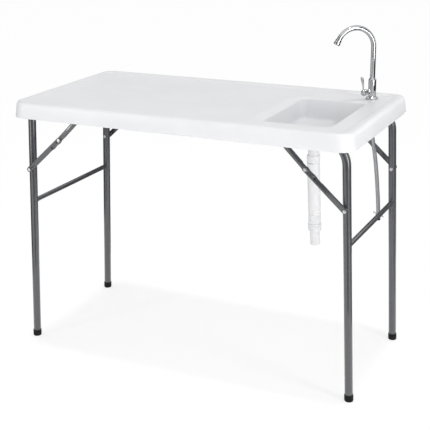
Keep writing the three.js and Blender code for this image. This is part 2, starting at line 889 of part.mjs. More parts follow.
function angleBracket(drop, eyeRadius, neck, halfLength, foot, footSign) {
  const top = drop - gap;
  const wall = sheetPlate([
    new THREE.Vector2(neck, top),
    new THREE.Vector2(-neck, top),
    new THREE.Vector2(-neck, top - bracketShoulder),
    ...arcPoints(0, 0, eyeRadius, bracketEyeStart, bracketEyeEnd, eyeSteps),
    new THREE.Vector2(neck, top - bracketShoulder),
  ], [], bracketSheet);
  const footCentre = footSign > 0 ? foot / 2 : bracketSheet - foot / 2;
  const footPlate = block(2 * halfLength, foot, bracketSheet, 0, footCentre, top - bracketSheet / 2);
  const setback = foot * screwSetbackShare;
  const screwY = footSign > 0 ? setback : bracketSheet - setback;
  const screwHoles = [-1, 1].map((sign) =>
    rod(screwHoleDiameter / 2, top - bracketSheet - overrun, top + overrun)
      .translate(sign * halfLength * screwSpreadShare, screwY, 0));
  return { wall, footPlate, screwHoles };
}

function pivotBracketGeometry(side) {
  const drop = underside - side.pivotZ;
  const { wall, footPlate, screwHoles } = angleBracket(
    drop, bracketEyeRadius, bracketNeckHalfWidth, bracketHalfLength, bracketFoot, 1);
  const pinHole = rodAcross(pivotPinDiameter / 2 + gap, 2 * bracketFoot, 0, 0);
  return shaped(wall, { joined: [footPlate], cut: [...screwHoles, pinHole] });
}

// The brace bracket carries its own riveted stud, on which the upper link turns.
function braceBracketGeometry() {
  const { wall, footPlate, screwHoles } = angleBracket(
    braceHeadDrop, braceBracketEye, braceBracketNeck, braceBracketHalfLength, braceBracketFoot, -1);
  const shank = rivetDiameter / 2;
  const head = rivetHeadDiameter / 2;
  const headStart = bracketSheet + gap + linkSheet + gap;
  const stud = turnedAcross([
    [0, bracketSheet / 2],
    [shank, bracketSheet / 2],
    [shank, headStart],
    ...headAbove(head, rivetHeadHeight, headStart),
  ]);
  return shaped(wall, { joined: [footPlate, stud], cut: screwHoles });
}

const pivotWallLane = legLineY(underside) + lugThickness / 2 + gap;

// The pin runs along Y from the inner face of the lug, heads outside lug and bracket.
function pivotPinGeometry() {
  const shank = pivotPinDiameter / 2;
  const head = pivotHeadDiameter / 2;
  const stack = lugThickness + gap + bracketSheet;
  return turnedAcross([
    ...headBelow(head, pivotHeadHeight, -gap),
    [shank, -gap],
    [shank, stack + gap],
    ...headAbove(head, pivotHeadHeight, stack + gap),
  ]);
}

const upperLink = upperLinkGeometry();
const lowerLink = lowerLinkGeometry();

for (const side of sides) {
  const frame = new THREE.Group();
  frame.position.set(side.sign * side.pivotX, 0, side.pivotZ);
  group.add(frame);
  const inFrame = (point) => point.sub(frame.position);
  const bar = addPiece(`${side.name}_crossbar`, crossbarGeometry(side), finishes.frameCoat, frame);
  bar.position.copy(inFrame(vec(side.sign * legLineX(crossbarHeight), 0, crossbarHeight)));
  for (const end of ends) {
    const corner = `${side.name}_${end.name}`;
    const out = vec(0, end.sign, 0);
    const outX = vec(end.sign, 0, 0);
    const foot = inFrame(legFoot(side, end));
    const { alongX, alongY } = legAxes(side, end);
    const leg = addPiece(`${corner}_leg`, legGeometry(side), finishes.frameCoat, frame);
    standAt(leg, foot, alongX, alongY);
    const cap = addPiece(`${corner}_foot_cap`, capGeometry(side, end), finishes.rubber, frame);
    cap.position.copy(foot);

    const braceFoot = vec(side.sign * braceFootX, end.sign * lowerWebLane, braceFootHeight);
    const knee = vec(side.sign * kneeReach, end.sign * lowerWebLane, kneeHeight);
    const head = vec(side.sign * braceHeadReach, end.sign * linkLane, braceHeadHeight);
    const lowerRun = knee.clone().sub(braceFoot).normalize();
    const upperRun = vec(side.sign * (kneeReach - braceHeadReach), 0, kneeHeight - braceHeadHeight)
      .normalize();

    const legRivet = addPiece(`${corner}_leg_rivet`, legRivetGeometry(), finishes.zinc, frame);
    const legMiddle = vec(braceFoot.x, end.sign * legLineY(braceFootHeight), braceFoot.z);
    standAt(legRivet, inFrame(legMiddle), outX, out);

    const lower = addPiece(`${corner}_lower_link`, lowerLink.clone(), finishes.frameCoat);
    standAt(lower, braceFoot, lowerRun, out);
    const kneeRivet = addPiece(`${corner}_knee_rivet`, kneeRivetGeometry(), finishes.zinc);
    standAt(kneeRivet, knee, outX, out);
    const upper = addPiece(`${corner}_upper_link`, upperLink.clone(), finishes.frameCoat);
    standAt(upper, head, upperRun, out);

    const braceBracket = addPiece(`${corner}_brace_bracket`, braceBracketGeometry(), finishes.frameCoat);
    const bracketLane = end.sign * (linkLane - gap - bracketSheet);
    standAt(braceBracket, vec(head.x, bracketLane, braceHeadHeight), outX, out);

    const pivotX = side.sign * side.pivotX;
    const pivotBracket = addPiece(
      `${corner}_pivot_bracket`, pivotBracketGeometry(side), finishes.frameCoat);
    standAt(pivotBracket, vec(pivotX, end.sign * pivotWallLane, side.pivotZ), outX, out);
    const pin = addPiece(`${corner}_pivot_pin`, pivotPinGeometry(), finishes.zinc);
    const pinLane = pivotWallLane - gap - lugThickness;
    standAt(pin, vec(pivotX, end.sign * pinLane, side.pivotZ), outX, out);
  }
}

// Drain

const drainSeat = basinFloor - drainSeatDepth;

function strainerGeometry() {
  const dish = turned([
    [strainerScrewRadius + gap, drainSeat],
    [strainerRadius - strainerEdge, drainSeat],
    [strainerRadius, drainSeat + strainerEdge],
    [strainerRadius - strainerThickness, drainSeat + strainerThickness],
    [drainNeckRadius + strainerThickness, drainSeat + strainerThickness],
    [drainNeckRadius, drainSeat + strainerFloor],
    [strainerScrewRadius + gap, drainSeat + strainerFloor],
    [strainerScrewRadius + gap, drainSeat],
  ]);
  const holes = Array.from({ length: strainerHoleCount }, (_, i) => {
    const turn = 2 * Math.PI * i / strainerHoleCount;
    const { circle, hole } = strainerRings[i % 2];
    return rod(hole, drainSeat - overrun, basinFloor + overrun, studSides)
      .translate(circle * Math.cos(turn), circle * Math.sin(turn), 0);
  });
  return shaped(dish, { cut: holes });
}

const drainFlangeTop = basinUnder - drainGasket - 2 * gap;

// A threaded neck with a flange under the sink, and a bridge that takes the strainer's screw.
function tailpieceGeometry() {
  const bore = drainNeckRadius - drainWall;
  const neckTop = drainSeat - gap;
  const shell = turned([
    [bore, drainNeckEnd],
    [drainNeckRadius, drainNeckEnd],
    [drainNeckRadius, drainFlangeTop - drainFlangeHeight],
    [drainFlangeRadius, drainFlangeTop - drainFlangeHeight],
    [drainFlangeRadius, drainFlangeTop],
    [drainNeckRadius, drainFlangeTop],
    [drainNeckRadius, neckTop],
    [bore, neckTop],
    [bore, drainNeckEnd],
  ]);
  const bridgeTop = drainSeat - drainSpiderDrop;
  const bridgeMiddle = bridgeTop - drainSpiderHeight / 2;
  const bridge = block(2 * bore + drainWall, drainSpiderWidth, drainSpiderHeight, 0, 0, bridgeMiddle);
  const hub = rod(drainSpiderHub, bridgeTop - drainSpiderHeight, bridgeTop);
  const screwHole = rod(strainerScrewRadius + gap, bridgeTop - 2 * drainSpiderHeight, bridgeTop + overrun);
  return shaped(shell, { joined: [bridge, hub], cut: [screwHole] });
}

function strainerScrewGeometry() {
  const headSeat = drainSeat + strainerFloor + gap;
  const end = drainSeat - drainSpiderDrop - drainSpiderHeight - overrun;
  return turned([
    [0, end],
    [strainerScrewRadius, end],
    [strainerScrewRadius, headSeat],
    ...headAbove(strainerScrewHead, strainerScrewHeadHeight, headSeat),
  ], smallSides);
}

function gasketGeometry() {
  const top = basinUnder - gap;
  return turned([
    [drainNeckRadius + gap, top - drainGasket],
    [drainFlangeRadius, top - drainGasket],
    [drainFlangeRadius, top],
    [drainNeckRadius + gap, top],
    [drainNeckRadius + gap, top - drainGasket],
  ]);
}

const drainNutBottom = drainNutTop - drainNutHeight;

// The nut closes over the neck above and over the hose's collar below.
function drainNutGeometry() {
  const bore = drainNeckRadius + gap;
  const grooves = Array.from({ length: drainNutGrooves }, (_, i) => {
    const turn = 2 * Math.PI * i / drainNutGrooves;
    return rod(drainNutGrooveRadius, drainNutBottom - overrun, drainNutTop + overrun, studSides)
      .translate(drainNutGrooveCircle * Math.cos(turn), drainNutGrooveCircle * Math.sin(turn), 0);
  });
  const shell = turned([
    [bore, drainNutBottom],
    [drainNutRadius - drainNutChamfer, drainNutBottom],
    [drainNutRadius, drainNutBottom + drainNutChamfer],
    [drainNutRadius, drainNutTop - drainNutChamfer],
    [drainNutRadius - drainNutChamfer, drainNutTop],
    [bore, drainNutTop],
    [bore, drainNutBottom],
  ]);
  return shaped(shell, { cut: grooves });
}

// Hose, cuff and spigot hang from the nut with a slight lean. Heights are given from the nut.
const hoseTop = drainNutBottom - gap - drainHoseRadius * Math.sin(rad(drainLean));
const fromHoseTop = (z) => z - hoseTop;

function drainHoseGeometry() {
  const bore = drainHoseRadius - drainHoseWall;
  const end = fromHoseTop(drainHoseEnd);
  const ribFlank = drainRibPitch * drainRibShare;
  const lowestRib = fromHoseTop(drainRibTop - (drainRibCount - 0.5) * drainRibPitch);
  const ribs = Array.from({ length: drainRibCount }, (_, i) => {
    const middle = lowestRib + i * drainRibPitch;
    return [
      [drainHoseRadius, middle - ribFlank],
      [drainHoseRadius - drainRibDepth, middle],
      [drainHoseRadius, middle + ribFlank],
    ];
  }).flat();
  return turned([
    [bore, end],
    [drainHoseRadius, end],
    ...ribs,
    [drainHoseRadius, 0],
    [bore, 0],
    [bore, end],
  ]);
}

function cuffGeometry() {
  const top = fromHoseTop(drainHoseEnd) - gap;
  const end = top - cuffHeight;
  const bore = spigotRadius + gap;
  const groove = (share) => {
    const middle = end + cuffHeight * share;
    return [
      [cuffRadius, middle - cuffGrooveWidth / 2],
      [cuffRadius - cuffGrooveDepth, middle - cuffGrooveWidth / 4],
      [cuffRadius - cuffGrooveDepth, middle + cuffGrooveWidth / 4],
      [cuffRadius, middle + cuffGrooveWidth / 2],
    ];
  };
  return turned([
    [bore, end],
    [cuffRadius - cuffGrooveDepth, end],
    [cuffRadius, end + cuffGrooveDepth],
    ...cuffGrooveShares.flatMap(groove),
    [cuffRadius, top - cuffGrooveDepth],
    [cuffRadius - cuffGrooveDepth, top],
    [bore, top],
    [bore, end],
  ]);
}

function spigotGeometry() {
  const top = fromHoseTop(drainHoseEnd) - gap;
  const end = fromHoseTop(spigotEnd);
  const bore = spigotRadius - spigotWall;
  return turned([
    [bore, end],
    [spigotRadius - spigotWall / 2, end],
    [spigotRadius, end + spigotWall],
    [spigotRadius, top],
    [bore, top],
    [bore, end],
  ]);
}

const drain = new THREE.Group();
drain.position.set(basinCentreX, basinCentreY, 0);
group.add(drain);
addPiece("sink_strainer", strainerGeometry().translate(0, 0, gap), finishes.chrome, drain);
addPiece("strainer_screw", strainerScrewGeometry().translate(0, 0, gap), finishes.chrome, drain);
addPiece("drain_gasket", gasketGeometry(), finishes.rubber, drain);
addPiece("drain_tailpiece", tailpieceGeometry(), finishes.pipe, drain);
addPiece("drain_nut", drainNutGeometry(), finishes.pipe, drain);
const hangingHose = new THREE.Group();
hangingHose.position.set(0, 0, hoseTop);
hangingHose.rotation.y = -rad(drainLean);
drain.add(hangingHose);
addPiece("drain_hose", drainHoseGeometry(), finishes.pipe, hangingHose);
addPiece("drain_cuff", cuffGeometry(), finishes.pipe, hangingHose);
addPiece("drain_spigot", spigotGeometry(), finishes.pipe, hangingHose);

// Tap

const tapFlangeTop = recessFloor + gap + tapFlangeHeight;

function tapFlangeGeometry() {
  const foot = recessFloor + gap;
  const bore = tapShankRadius + gap;
  return turned([
    [bore, foot],
    [tapFlangeRadius, foot],
    [tapFlangeRadius, foot + tapFlangeRim],
    [tapFlangeRadius - tapFlangeRim, foot + tapFlangeHeight * tapFlangeDishShare],
    [tapBodyRadius + gap, tapFlangeTop],
    [bore, tapFlangeTop],
    [bore, foot],
  ]);
}

const valveAxis = vec(
  Math.cos(rad(valveHeading)) * Math.cos(rad(valveDrop)),
  Math.sin(rad(valveHeading)) * Math.cos(rad(valveDrop)),
  -Math.sin(rad(valveDrop)),
);
const valveTurn = new THREE.Quaternion().setFromUnitVectors(up, valveAxis);
const valveMatrix = new THREE.Matrix4().makeRotationFromQuaternion(valveTurn)
  .setPosition(0, 0, valveHeight);

// The body is one casting: threaded shank, sleeve and the branch that holds the valve.
function tapBodyGeometry() {
  const seat = tapFlangeTop + gap;
  const socket = spoutRadius + gap;
  const shell = turned([
    [tapWaterway, tapShankEnd],
    [tapShankRadius, tapShankEnd],
    [tapShankRadius, seat],
    [tapBodyRadius, seat],
    [tapBodyRadius, tapBodyTop - tapBodyTaper],
    [socket + gap, tapBodyTop],
    [socket, tapBodyTop],
    [socket, tapBodyTop - tapSocketDepth],
    [tapWaterway, tapBodyTop - tapSocketDepth],
    [tapWaterway, tapShankEnd],
  ]);
  const seatStart = valveSeatReach - valveSeatLength;
  const branch = turned([
    [0, valveRootStart],
    [valveRootRadius, valveRootStart],
    [valveRootRadius, tapBodyRadius],
    [valveNeckRadius, valveNeckStart],
    [valveNeckRadius, seatStart - valveSeatLength / 2],
    [valveSeatRadius, seatStart],
    [valveSeatRadius, valveSeatReach],
    [0, valveSeatReach],
  ]).applyMatrix4(valveMatrix);
  return shaped(shell, { joined: [branch] });
}

function spoutStations() {
  const toward = vec(Math.cos(rad(spoutHeading)), Math.sin(rad(spoutHeading)), 0);
  const start = vec(0, 0, tapBodyTop - tapSocketDepth + gap);
  return bentPath(
    start, up, toward, spoutArcHeight - start.z, spoutArcRadius, rad(spoutArcAngle),
    spoutStraightEnd, spoutBendSteps);
}

function aeratorGeometry() {
  const inner = spoutRadius + gap;
  const bore = inner * aeratorBoreShare;
  const cup = turned([
    [0, 0],
    [aeratorRadius - gap, 0],
    [aeratorRadius, aeratorScreen],
    ...aeratorShares.map(([wide, along]) => [aeratorRadius * wide, aeratorLength * along]),
    [inner, aeratorLength],
    [inner, aeratorLength - aeratorLap],
    [bore, aeratorLength - aeratorLap],
    [bore, aeratorScreen],
    [0, aeratorScreen],
  ], tubeSides);
  const holes = Array.from({ length: aeratorHoleCount }, (_, i) => {
    const turn = 2 * Math.PI * i / aeratorHoleCount;
    return rod(aeratorHoleRadius, -overrun, aeratorScreen + overrun, studSides)
      .translate(aeratorHoleCircle * Math.cos(turn), aeratorHoleCircle * Math.sin(turn), 0);
  });
  holes.push(rod(aeratorHoleRadius, -overrun, aeratorScreen + overrun, studSides));
  return shaped(cup, { cut: holes });
}

function bonnetGeometry() {
  const start = valveSeatReach + gap;
  return turned([
    [0, start],
    [bonnetRadius - bonnetEdge, start],
    [bonnetRadius, start + bonnetEdge],
    [bonnetRadius, start + bonnetLength - bonnetEdge],
    [bonnetRadius - bonnetEdge, start + bonnetLength],
    [0, start + bonnetLength],
  ]);
}

// The lever is a round knob on the valve's axis with a handle that swells towards its tip.
function leverGeometry() {
  const start = valveSeatReach + bonnetLength + 2 * gap;
  const knob = turned([
    [0, start],
    [knobRadius, start],
    ...knobDomeShares.map(([wide, drop]) => [knobRadius * wide, start + knobLength - knobDome * drop]),
  ]).applyMatrix4(valveMatrix);
  const root = vec(0, 0, valveHeight).addScaledVector(valveAxis, start + knobLength / 2);
  const heading = vec(valveAxis.x, valveAxis.y, 0).normalize();
  const wide = heading.clone().cross(up);
  const sections = leverShares.map(([reach, widen, thicken]) => {
    const halfWidth = leverRootHalfWidth + (leverTipHalfWidth - leverRootHalfWidth) * widen;
    const halfThickness = leverTipHalfThickness * thicken;
    const centre = root.clone()
      .addScaledVector(up, leverLength * reach)
      .addScaledVector(heading, leverLean * reach * reach);
    return Array.from({ length: smallSides }, (_, i) => {
      const turn = 2 * Math.PI * i / smallSides;
      return centre.clone()
        .addScaledVector(wide, halfWidth * Math.cos(turn))
        .addScaledVector(heading, -halfThickness * Math.sin(turn));
    });
  });
  return shaped(knob, { joined: [loft(sections)] });
}

function washerGeometry() {
  const top = seatHeight;
  const bore = tapShankRadius + gap;
  return turned([
    [bore, top - shankWasherHeight],
    [shankWasherRadius, top - shankWasherHeight],
    [shankWasherRadius, top],
    [bore, top],
    [bore, top - shankWasherHeight],
  ], tubeSides);
}

function shankNutGeometry() {
  const top = seatHeight - shankWasherHeight - gap;
  const bore = tapShankRadius + gap;
  const hex = new THREE.Shape(circlePoints(shankNutRadius, studSides));
  hex.holes.push(new THREE.Path(circlePoints(bore, tubeSides)));
  return new THREE.ExtrudeGeometry(hex, { depth: shankNutHeight, bevelEnabled: false })
    .translate(0, 0, top - shankNutHeight);
}

const couplingNutBottom = couplingNutTop - couplingNutHeight;

function couplingNutGeometry() {
  const bore = tapShankRadius + gap;
  return turned([
    [tapWaterway, couplingNutBottom],
    [couplingNutRadius - couplingNutLip / 2, couplingNutBottom],
    [couplingNutRadius, couplingNutBottom + couplingNutLip],
    [couplingNutRadius, couplingNutTop],
    [bore, couplingNutTop],
    [bore, tapShankEnd - gap],
    [tapWaterway, tapShankEnd - gap],
    [tapWaterway, couplingNutBottom],
  ]);
}

const tap = new THREE.Group();
tap.position.set(tapX, tapY, 0);
group.add(tap);
const spoutPath = spoutStations();
addPiece("tap_flange", tapFlangeGeometry(), finishes.chrome, tap);
addPiece("tap_body", tapBodyGeometry(), finishes.chrome, tap);
addPiece("tap_spout", tubeAlong(spoutPath, spoutRadius, spoutRadius - spoutWall), finishes.chrome, tap);
const spoutEnd = spoutPath.points.at(-1);
const spoutExit = spoutPath.tangents.at(-1);
const aerator = addPiece("tap_aerator", aeratorGeometry(), finishes.chrome, tap);
aerator.position.copy(spoutEnd).addScaledVector(spoutExit, aeratorLength - aeratorLap + gap);
aerator.quaternion.setFromUnitVectors(up, spoutExit.clone().negate());
addPiece("valve_bonnet", bonnetGeometry().applyMatrix4(valveMatrix), finishes.chrome, tap);
addPiece("tap_lever", leverGeometry(), finishes.chrome, tap);
addPiece("shank_washer", washerGeometry(), finishes.rubber, tap);
addPiece("shank_nut", shankNutGeometry(), finishes.zinc, tap);
addPiece("hose_coupling_nut", couplingNutGeometry(), finishes.zinc, tap);

// Supply hose
// Its route is a list of places from the coupling nut down to the winged sleeve, each given as
// [how far to the right of the tap, how far behind it, how far below the table's top].

const supplyRoute = [
  [0, 0, 71.3],
  [0.2, 0, 85],
  [2, 0, 102],
  [6, -0.4, 125],
  [11.5, -1.2, 155],
  [17, -2.2, 185],
  [22, -3.4, 215],
  [26, -4.8, 245],
  [29.6, -6.2, 275],
  [32.8, -7.8, 305],
  [35.8, -9.4, 332],
  [37.4, -10.8, 352],
  [38.8, -11.8, 367],
  [39.8, -12.6, 381],
].map(([x, y, drop]) => vec(tapX + x, tapY + y, tableHeight - drop));

function supplyHoseGeometry() {
  const tangents = supplyRoute.map((point, i) => {
    const before = supplyRoute[Math.max(i - 1, 0)];
    const after = supplyRoute[Math.min(i + 1, supplyRoute.length - 1)];
    return after.clone().sub(before).normalize();
  });
  return tubeAlong(new StationPath(supplyRoute, tangents), supplyHoseRadius, 0, smallSides);
}

const hoseEnd = supplyRoute.at(-1);
const hoseExit = hoseEnd.clone().sub(supplyRoute.at(-2)).normalize();

// A winged sleeve on the hose's lower end, drawn downwards from the hose.
function wingSleeveGeometry() {
  const sleeve = rod(wingSleeveRadius, gap, wingSleeveLength, tubeSides);
  const wingMiddle = wingSleeveLength * wingPlaceShare;
  const wings = block(wingSpan, wingSheet, wingHeight, 0, 0, wingMiddle);
  return shaped(sleeve, { joined: [wings] });
}

function hoseTipGeometry() {
  const start = wingSleeveLength + gap;
  const floor = start + hoseTipLength * hoseTipFloorShare;
  return turned([
    [0, start],
    [hoseTipRadius, start],
    ...hoseTipShares.map(([wide, along]) => [hoseTipRadius * wide, start + hoseTipLength * along]),
    [hoseTipBore, start + hoseTipLength],
    [hoseTipBore, floor],
    [0, floor],
  ], tubeSides);
}

addPiece("supply_hose", supplyHoseGeometry(), finishes.braid);
const hoseFittings = new THREE.Group();
hoseFittings.position.copy(hoseEnd);
hoseFittings.quaternion.setFromUnitVectors(up, hoseExit);
group.add(hoseFittings);
addPiece("hose_wing_sleeve", wingSleeveGeometry(), finishes.zinc, hoseFittings);
addPiece("hose_tip", hoseTipGeometry(), finishes.rubber, hoseFittings);

export default group;
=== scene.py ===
import math

import bmesh
import bpy
from mathutils import Matrix, Vector


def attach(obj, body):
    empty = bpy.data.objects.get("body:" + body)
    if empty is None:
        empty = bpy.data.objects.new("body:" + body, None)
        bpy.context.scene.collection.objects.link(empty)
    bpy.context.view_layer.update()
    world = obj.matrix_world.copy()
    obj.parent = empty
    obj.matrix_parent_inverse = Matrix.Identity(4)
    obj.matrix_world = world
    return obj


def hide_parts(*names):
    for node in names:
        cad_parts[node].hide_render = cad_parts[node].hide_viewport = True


bl_info = {
    "name": "Fish cleaning table",
    "version": (1, 0, 0),
    "blender": (4, 5, 0),
    "location": "3D View > Sidebar > Table",
    "description": "Dresses a folding fish cleaning table with a sink, a gooseneck tap and a drain",
    "category": "Object",
}

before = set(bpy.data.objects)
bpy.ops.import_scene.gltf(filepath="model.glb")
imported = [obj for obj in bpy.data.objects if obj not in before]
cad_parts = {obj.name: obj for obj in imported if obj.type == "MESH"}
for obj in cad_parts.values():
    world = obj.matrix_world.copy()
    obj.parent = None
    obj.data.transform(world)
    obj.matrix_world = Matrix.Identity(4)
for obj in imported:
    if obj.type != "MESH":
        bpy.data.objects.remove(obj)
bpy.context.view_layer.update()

# Shapes are made in millimetres and brought to metres when a piece is finished.
MM = 0.001
UP = Vector((0, 0, 1))
BACKWARD = Vector((0, 1, 0))
FINISH = "_finish"  # tells the materials made here from the frame's own

SIDES = (("right", 1), ("left", -1))
ENDS = (("front", -1), ("back", 1))

# Heights and fits shared by several pieces
TOP_HEIGHT = 840
UNDERSIDE = 812
SKIRT_FOOT = 788
RECESS_FLOOR = 834
BASIN_FLOOR = 762
BASIN_UNDER = 757.5
SEAT_DEPTH = 1.5
FIT = 0.3
EDGE = 0.4

# Tube frames
FOOT_X = 566
FOOT_Y = 236
SPLAY_X = 32
SPLAY_Y = 5
CAP_FLOOR = 4.2
CROSSBAR_HEIGHT = 491

# Braces
BRACE_FOOT_HEIGHT = 605
KNEE_X = 420
KNEE_HEIGHT = 716
BRACE_HEAD_X = 333
BRACE_HEAD_HEIGHT = 803
UPPER_LANE = 251
LOWER_LANE = 253.5
LINK_SHEET = 2.2
RIVET_HEAD = 5.4
RIVET_SHANK = 3.5
ROUND_END = 0.99  # of a strip's half width, so that its two corner curves don't meet

# Sink, drain and tap places
BASIN_X = 362.5
BASIN_Y = -27.5
TAP_X = 470
TAP_Y = 211


# Settings

class TopSettings(bpy.types.PropertyGroup):
    """Sizes and colour of the moulded top."""

    colour: bpy.props.FloatVectorProperty(
        name="Colour", description="Colour of the moulding", subtype="COLOR",
        size=3, min=0, max=1, default=(0.80, 0.803, 0.82))
    edge_round: bpy.props.FloatProperty(
        name="Edge round", description="Radius of the outer top edge",
        default=0.013, min=0.004, max=0.013, unit="LENGTH")
    grain: bpy.props.FloatProperty(
        name="Grain size", description="Width of the moulded grain's bumps",
        default=0.0016, min=0.0005, max=0.01, unit="LENGTH")


class FrameSettings(bpy.types.PropertyGroup):
    """Sizes and colours of the folding frames and their braces."""

    colour: bpy.props.FloatVectorProperty(
        name="Colour", description="Colour of the coated tubes", subtype="COLOR",
        size=3, min=0, max=1, default=(0.056, 0.058, 0.066))
    cap_colour: bpy.props.FloatVectorProperty(
        name="Cap colour", description="Colour of the foot caps", subtype="COLOR",
        size=3, min=0, max=1, default=(0.006, 0.006, 0.007))
    tube_diameter: bpy.props.FloatProperty(
        name="Leg diameter", description="Outer diameter of the leg tubes",
        default=0.025, min=0.02, max=0.025, unit="LENGTH")
    crossbar_diameter: bpy.props.FloatProperty(
        name="Crossbar diameter", description="Outer diameter of the crossbars",
        default=0.0155, min=0.012, max=0.017, unit="LENGTH")


class TapSettings(bpy.types.PropertyGroup):
    """Sizes and colour of the tap and its supply hose."""

    colour: bpy.props.FloatVectorProperty(
        name="Colour", description="Tint of the chrome plate", subtype="COLOR",
        size=3, min=0, max=1, default=(0.58, 0.59, 0.60))
    spout_diameter: bpy.props.FloatProperty(
        name="Spout diameter", description="Outer diameter of the spout tube",
        default=0.016, min=0.012, max=0.016, unit="LENGTH")
    braid_colour: bpy.props.FloatVectorProperty(
        name="Braid colour", description="Colour of the hose's wire braid", subtype="COLOR",
        size=3, min=0, max=1, default=(0.42, 0.43, 0.45))


class DrainSettings(bpy.types.PropertyGroup):
    """Colour of the drain's pipe and hose."""

    colour: bpy.props.FloatVectorProperty(
        name="Colour", description="Colour of the white pipe", subtype="COLOR",
        size=3, min=0, max=1, default=(0.79, 0.79, 0.80))


class StageSettings(bpy.types.PropertyGroup):
    """Floor and light."""

    floor_colour: bpy.props.FloatVectorProperty(
        name="Floor colour", description="Colour of the floor", subtype="COLOR",
        size=3, min=0, max=1, default=(0.98, 0.98, 0.98))
    key_power: bpy.props.FloatProperty(
        name="Lamps", description="Power of the left lamp", default=13, min=0, unit="POWER")
    top_strength: bpy.props.FloatProperty(
        name="Top lamp", description="Strength of the light from above", default=0.8, min=0)
    sky_strength: bpy.props.FloatProperty(
        name="Sky", description="Strength of the even light from all round", default=0.58, min=0)


# Mesh helpers

def rounded_profile(points, steps=4):
    """Replaces each (x, y, radius) corner of a profile by a curve; two numbers keep it sharp."""
    result = []
    for i, point in enumerate(points):
        here = Vector(point[:2])
        if len(point) == 2 or i in (0, len(points) - 1):
            result.append(tuple(here))
            continue
        before = Vector(points[i - 1][:2]) - here
        after = Vector(points[i + 1][:2]) - here
        reach = min(point[2], before.length * 0.49, after.length * 0.49)
        start = here + before.normalized() * reach
        end = here + after.normalized() * reach
        for k in range(steps + 1):
            t = k / steps
            result.append(tuple(start * (1 - t) ** 2 + here * 2 * t * (1 - t) + end * t ** 2))
    return result


def spun(profile, segments=48, closed=False):
    """Spins a profile of (radius, height) points round Z."""
    bm = bmesh.new()
    verts = [bm.verts.new((radius, 0, height)) for radius, height in rounded_profile(profile)]
    edges = [bm.edges.new(pair) for pair in zip(verts, verts[1:])]
    if closed:
        edges.append(bm.edges.new((verts[-1], verts[0])))
    bmesh.ops.spin(
        bm, geom=verts + edges, cent=(0, 0, 0), axis=UP, angle=math.tau, steps=segments, use_merge=True)
    bmesh.ops.remove_doubles(bm, verts=bm.verts, dist=0.001)
    bmesh.ops.recalc_face_normals(bm, faces=bm.faces)
    return bm


def turned(profile, segments=48, bore=0):
    """Spins a wall's profile round Z, with flat ends in to its bore or its axis."""
    return spun([(bore, profile[0][1]), *profile, (bore, profile[-1][1])], segments, closed=bore > 0)


def eased_edges(bm, edges, offset, segments=2):
    bmesh.ops.bevel(
        bm, geom=edges, offset=offset, affect="EDGES", segments=segments, profile=0.5, material=-1)
    return bm


def next_ring(bm, edges):
    """Extrudes a ring of edges where it lies; returns the new ring's vertices and edges."""
    made = bmesh.ops.extrude_edge_only(bm, edges=edges)["geom"]
    ring = {item for item in made if isinstance(item, bmesh.types.BMVert)}
    return ring, [item for item in made if isinstance(item, bmesh.types.BMEdge)
                  and item.verts[0] in ring and item.verts[1] in ring]


def grown_rings(bm, outlines):
    """Extrudes a ring through outlines of equal point count; returns its first and last edges."""
    place = bm.verts.layers.int.get("place") or bm.verts.layers.int.new("place")
    ring = bmesh.ops.create_circle(bm, radius=1, segments=len(outlines[0]))["verts"]
    for i, vert in enumerate(ring):
        vert[place] = i
        vert.co = outlines[0][i]
    first = edges = list({edge for vert in ring for edge in vert.link_edges})
    for outline in outlines[1:]:
        ring, edges = next_ring(bm, edges)
        for vert in ring:
            vert.co = outline[vert[place]]
    return first, edges


def station_matrix(point, tangent, side):
    """A ring's place on a run: Z along the run, X as near as possible to side."""
    along = tangent.normalized()
    x_axis = (side - along * side.dot(along)).normalized()
    return standing(point, x_axis, along.cross(x_axis))


def swept(stations, radius, sides=32, side=BACKWARD, end_round=0.0):
    """A round bar along (point, tangent) stations, with closed ends."""
    bm = bmesh.new()
    matrices = [station_matrix(point, tangent, side) for point, tangent in stations]
    ring = bmesh.ops.create_circle(bm, cap_ends=True, radius=radius, segments=sides)["verts"]
    bmesh.ops.transform(bm, matrix=matrices[0], verts=ring)
    edges = list({edge for vert in ring for edge in vert.link_edges})
    for before, after in zip(matrices, matrices[1:]):
        ring, edges = next_ring(bm, edges)
        bmesh.ops.transform(bm, matrix=after @ before.inverted(), verts=list(ring))
    bmesh.ops.contextual_create(bm, geom=edges)
    bmesh.ops.recalc_face_normals(bm, faces=bm.faces)
    if end_round:
        caps = [face for face in bm.faces if len(face.verts) == sides]
        eased_edges(bm, list({edge for face in caps for edge in face.edges}), end_round, 3)
    return bm


def bend_stations(start, heading, toward, straight, radius, angle, tail=0, steps=14):
    """Stations of a run that starts straight, bends and ends straight."""
    stations = [(start.copy(), heading.copy())]
    bend_start = start + heading * straight
    for i in range(steps + 1):
        turn = angle * i / steps
        along, aside = radius * math.sin(turn), radius * (1 - math.cos(turn))
        stations.append((bend_start + heading * along + toward * aside,
                         heading * math.cos(turn) + toward * math.sin(turn)))
    if tail:
        point, tangent = stations[-1]
        stations.append((point + tangent * tail, tangent.copy()))
    return stations


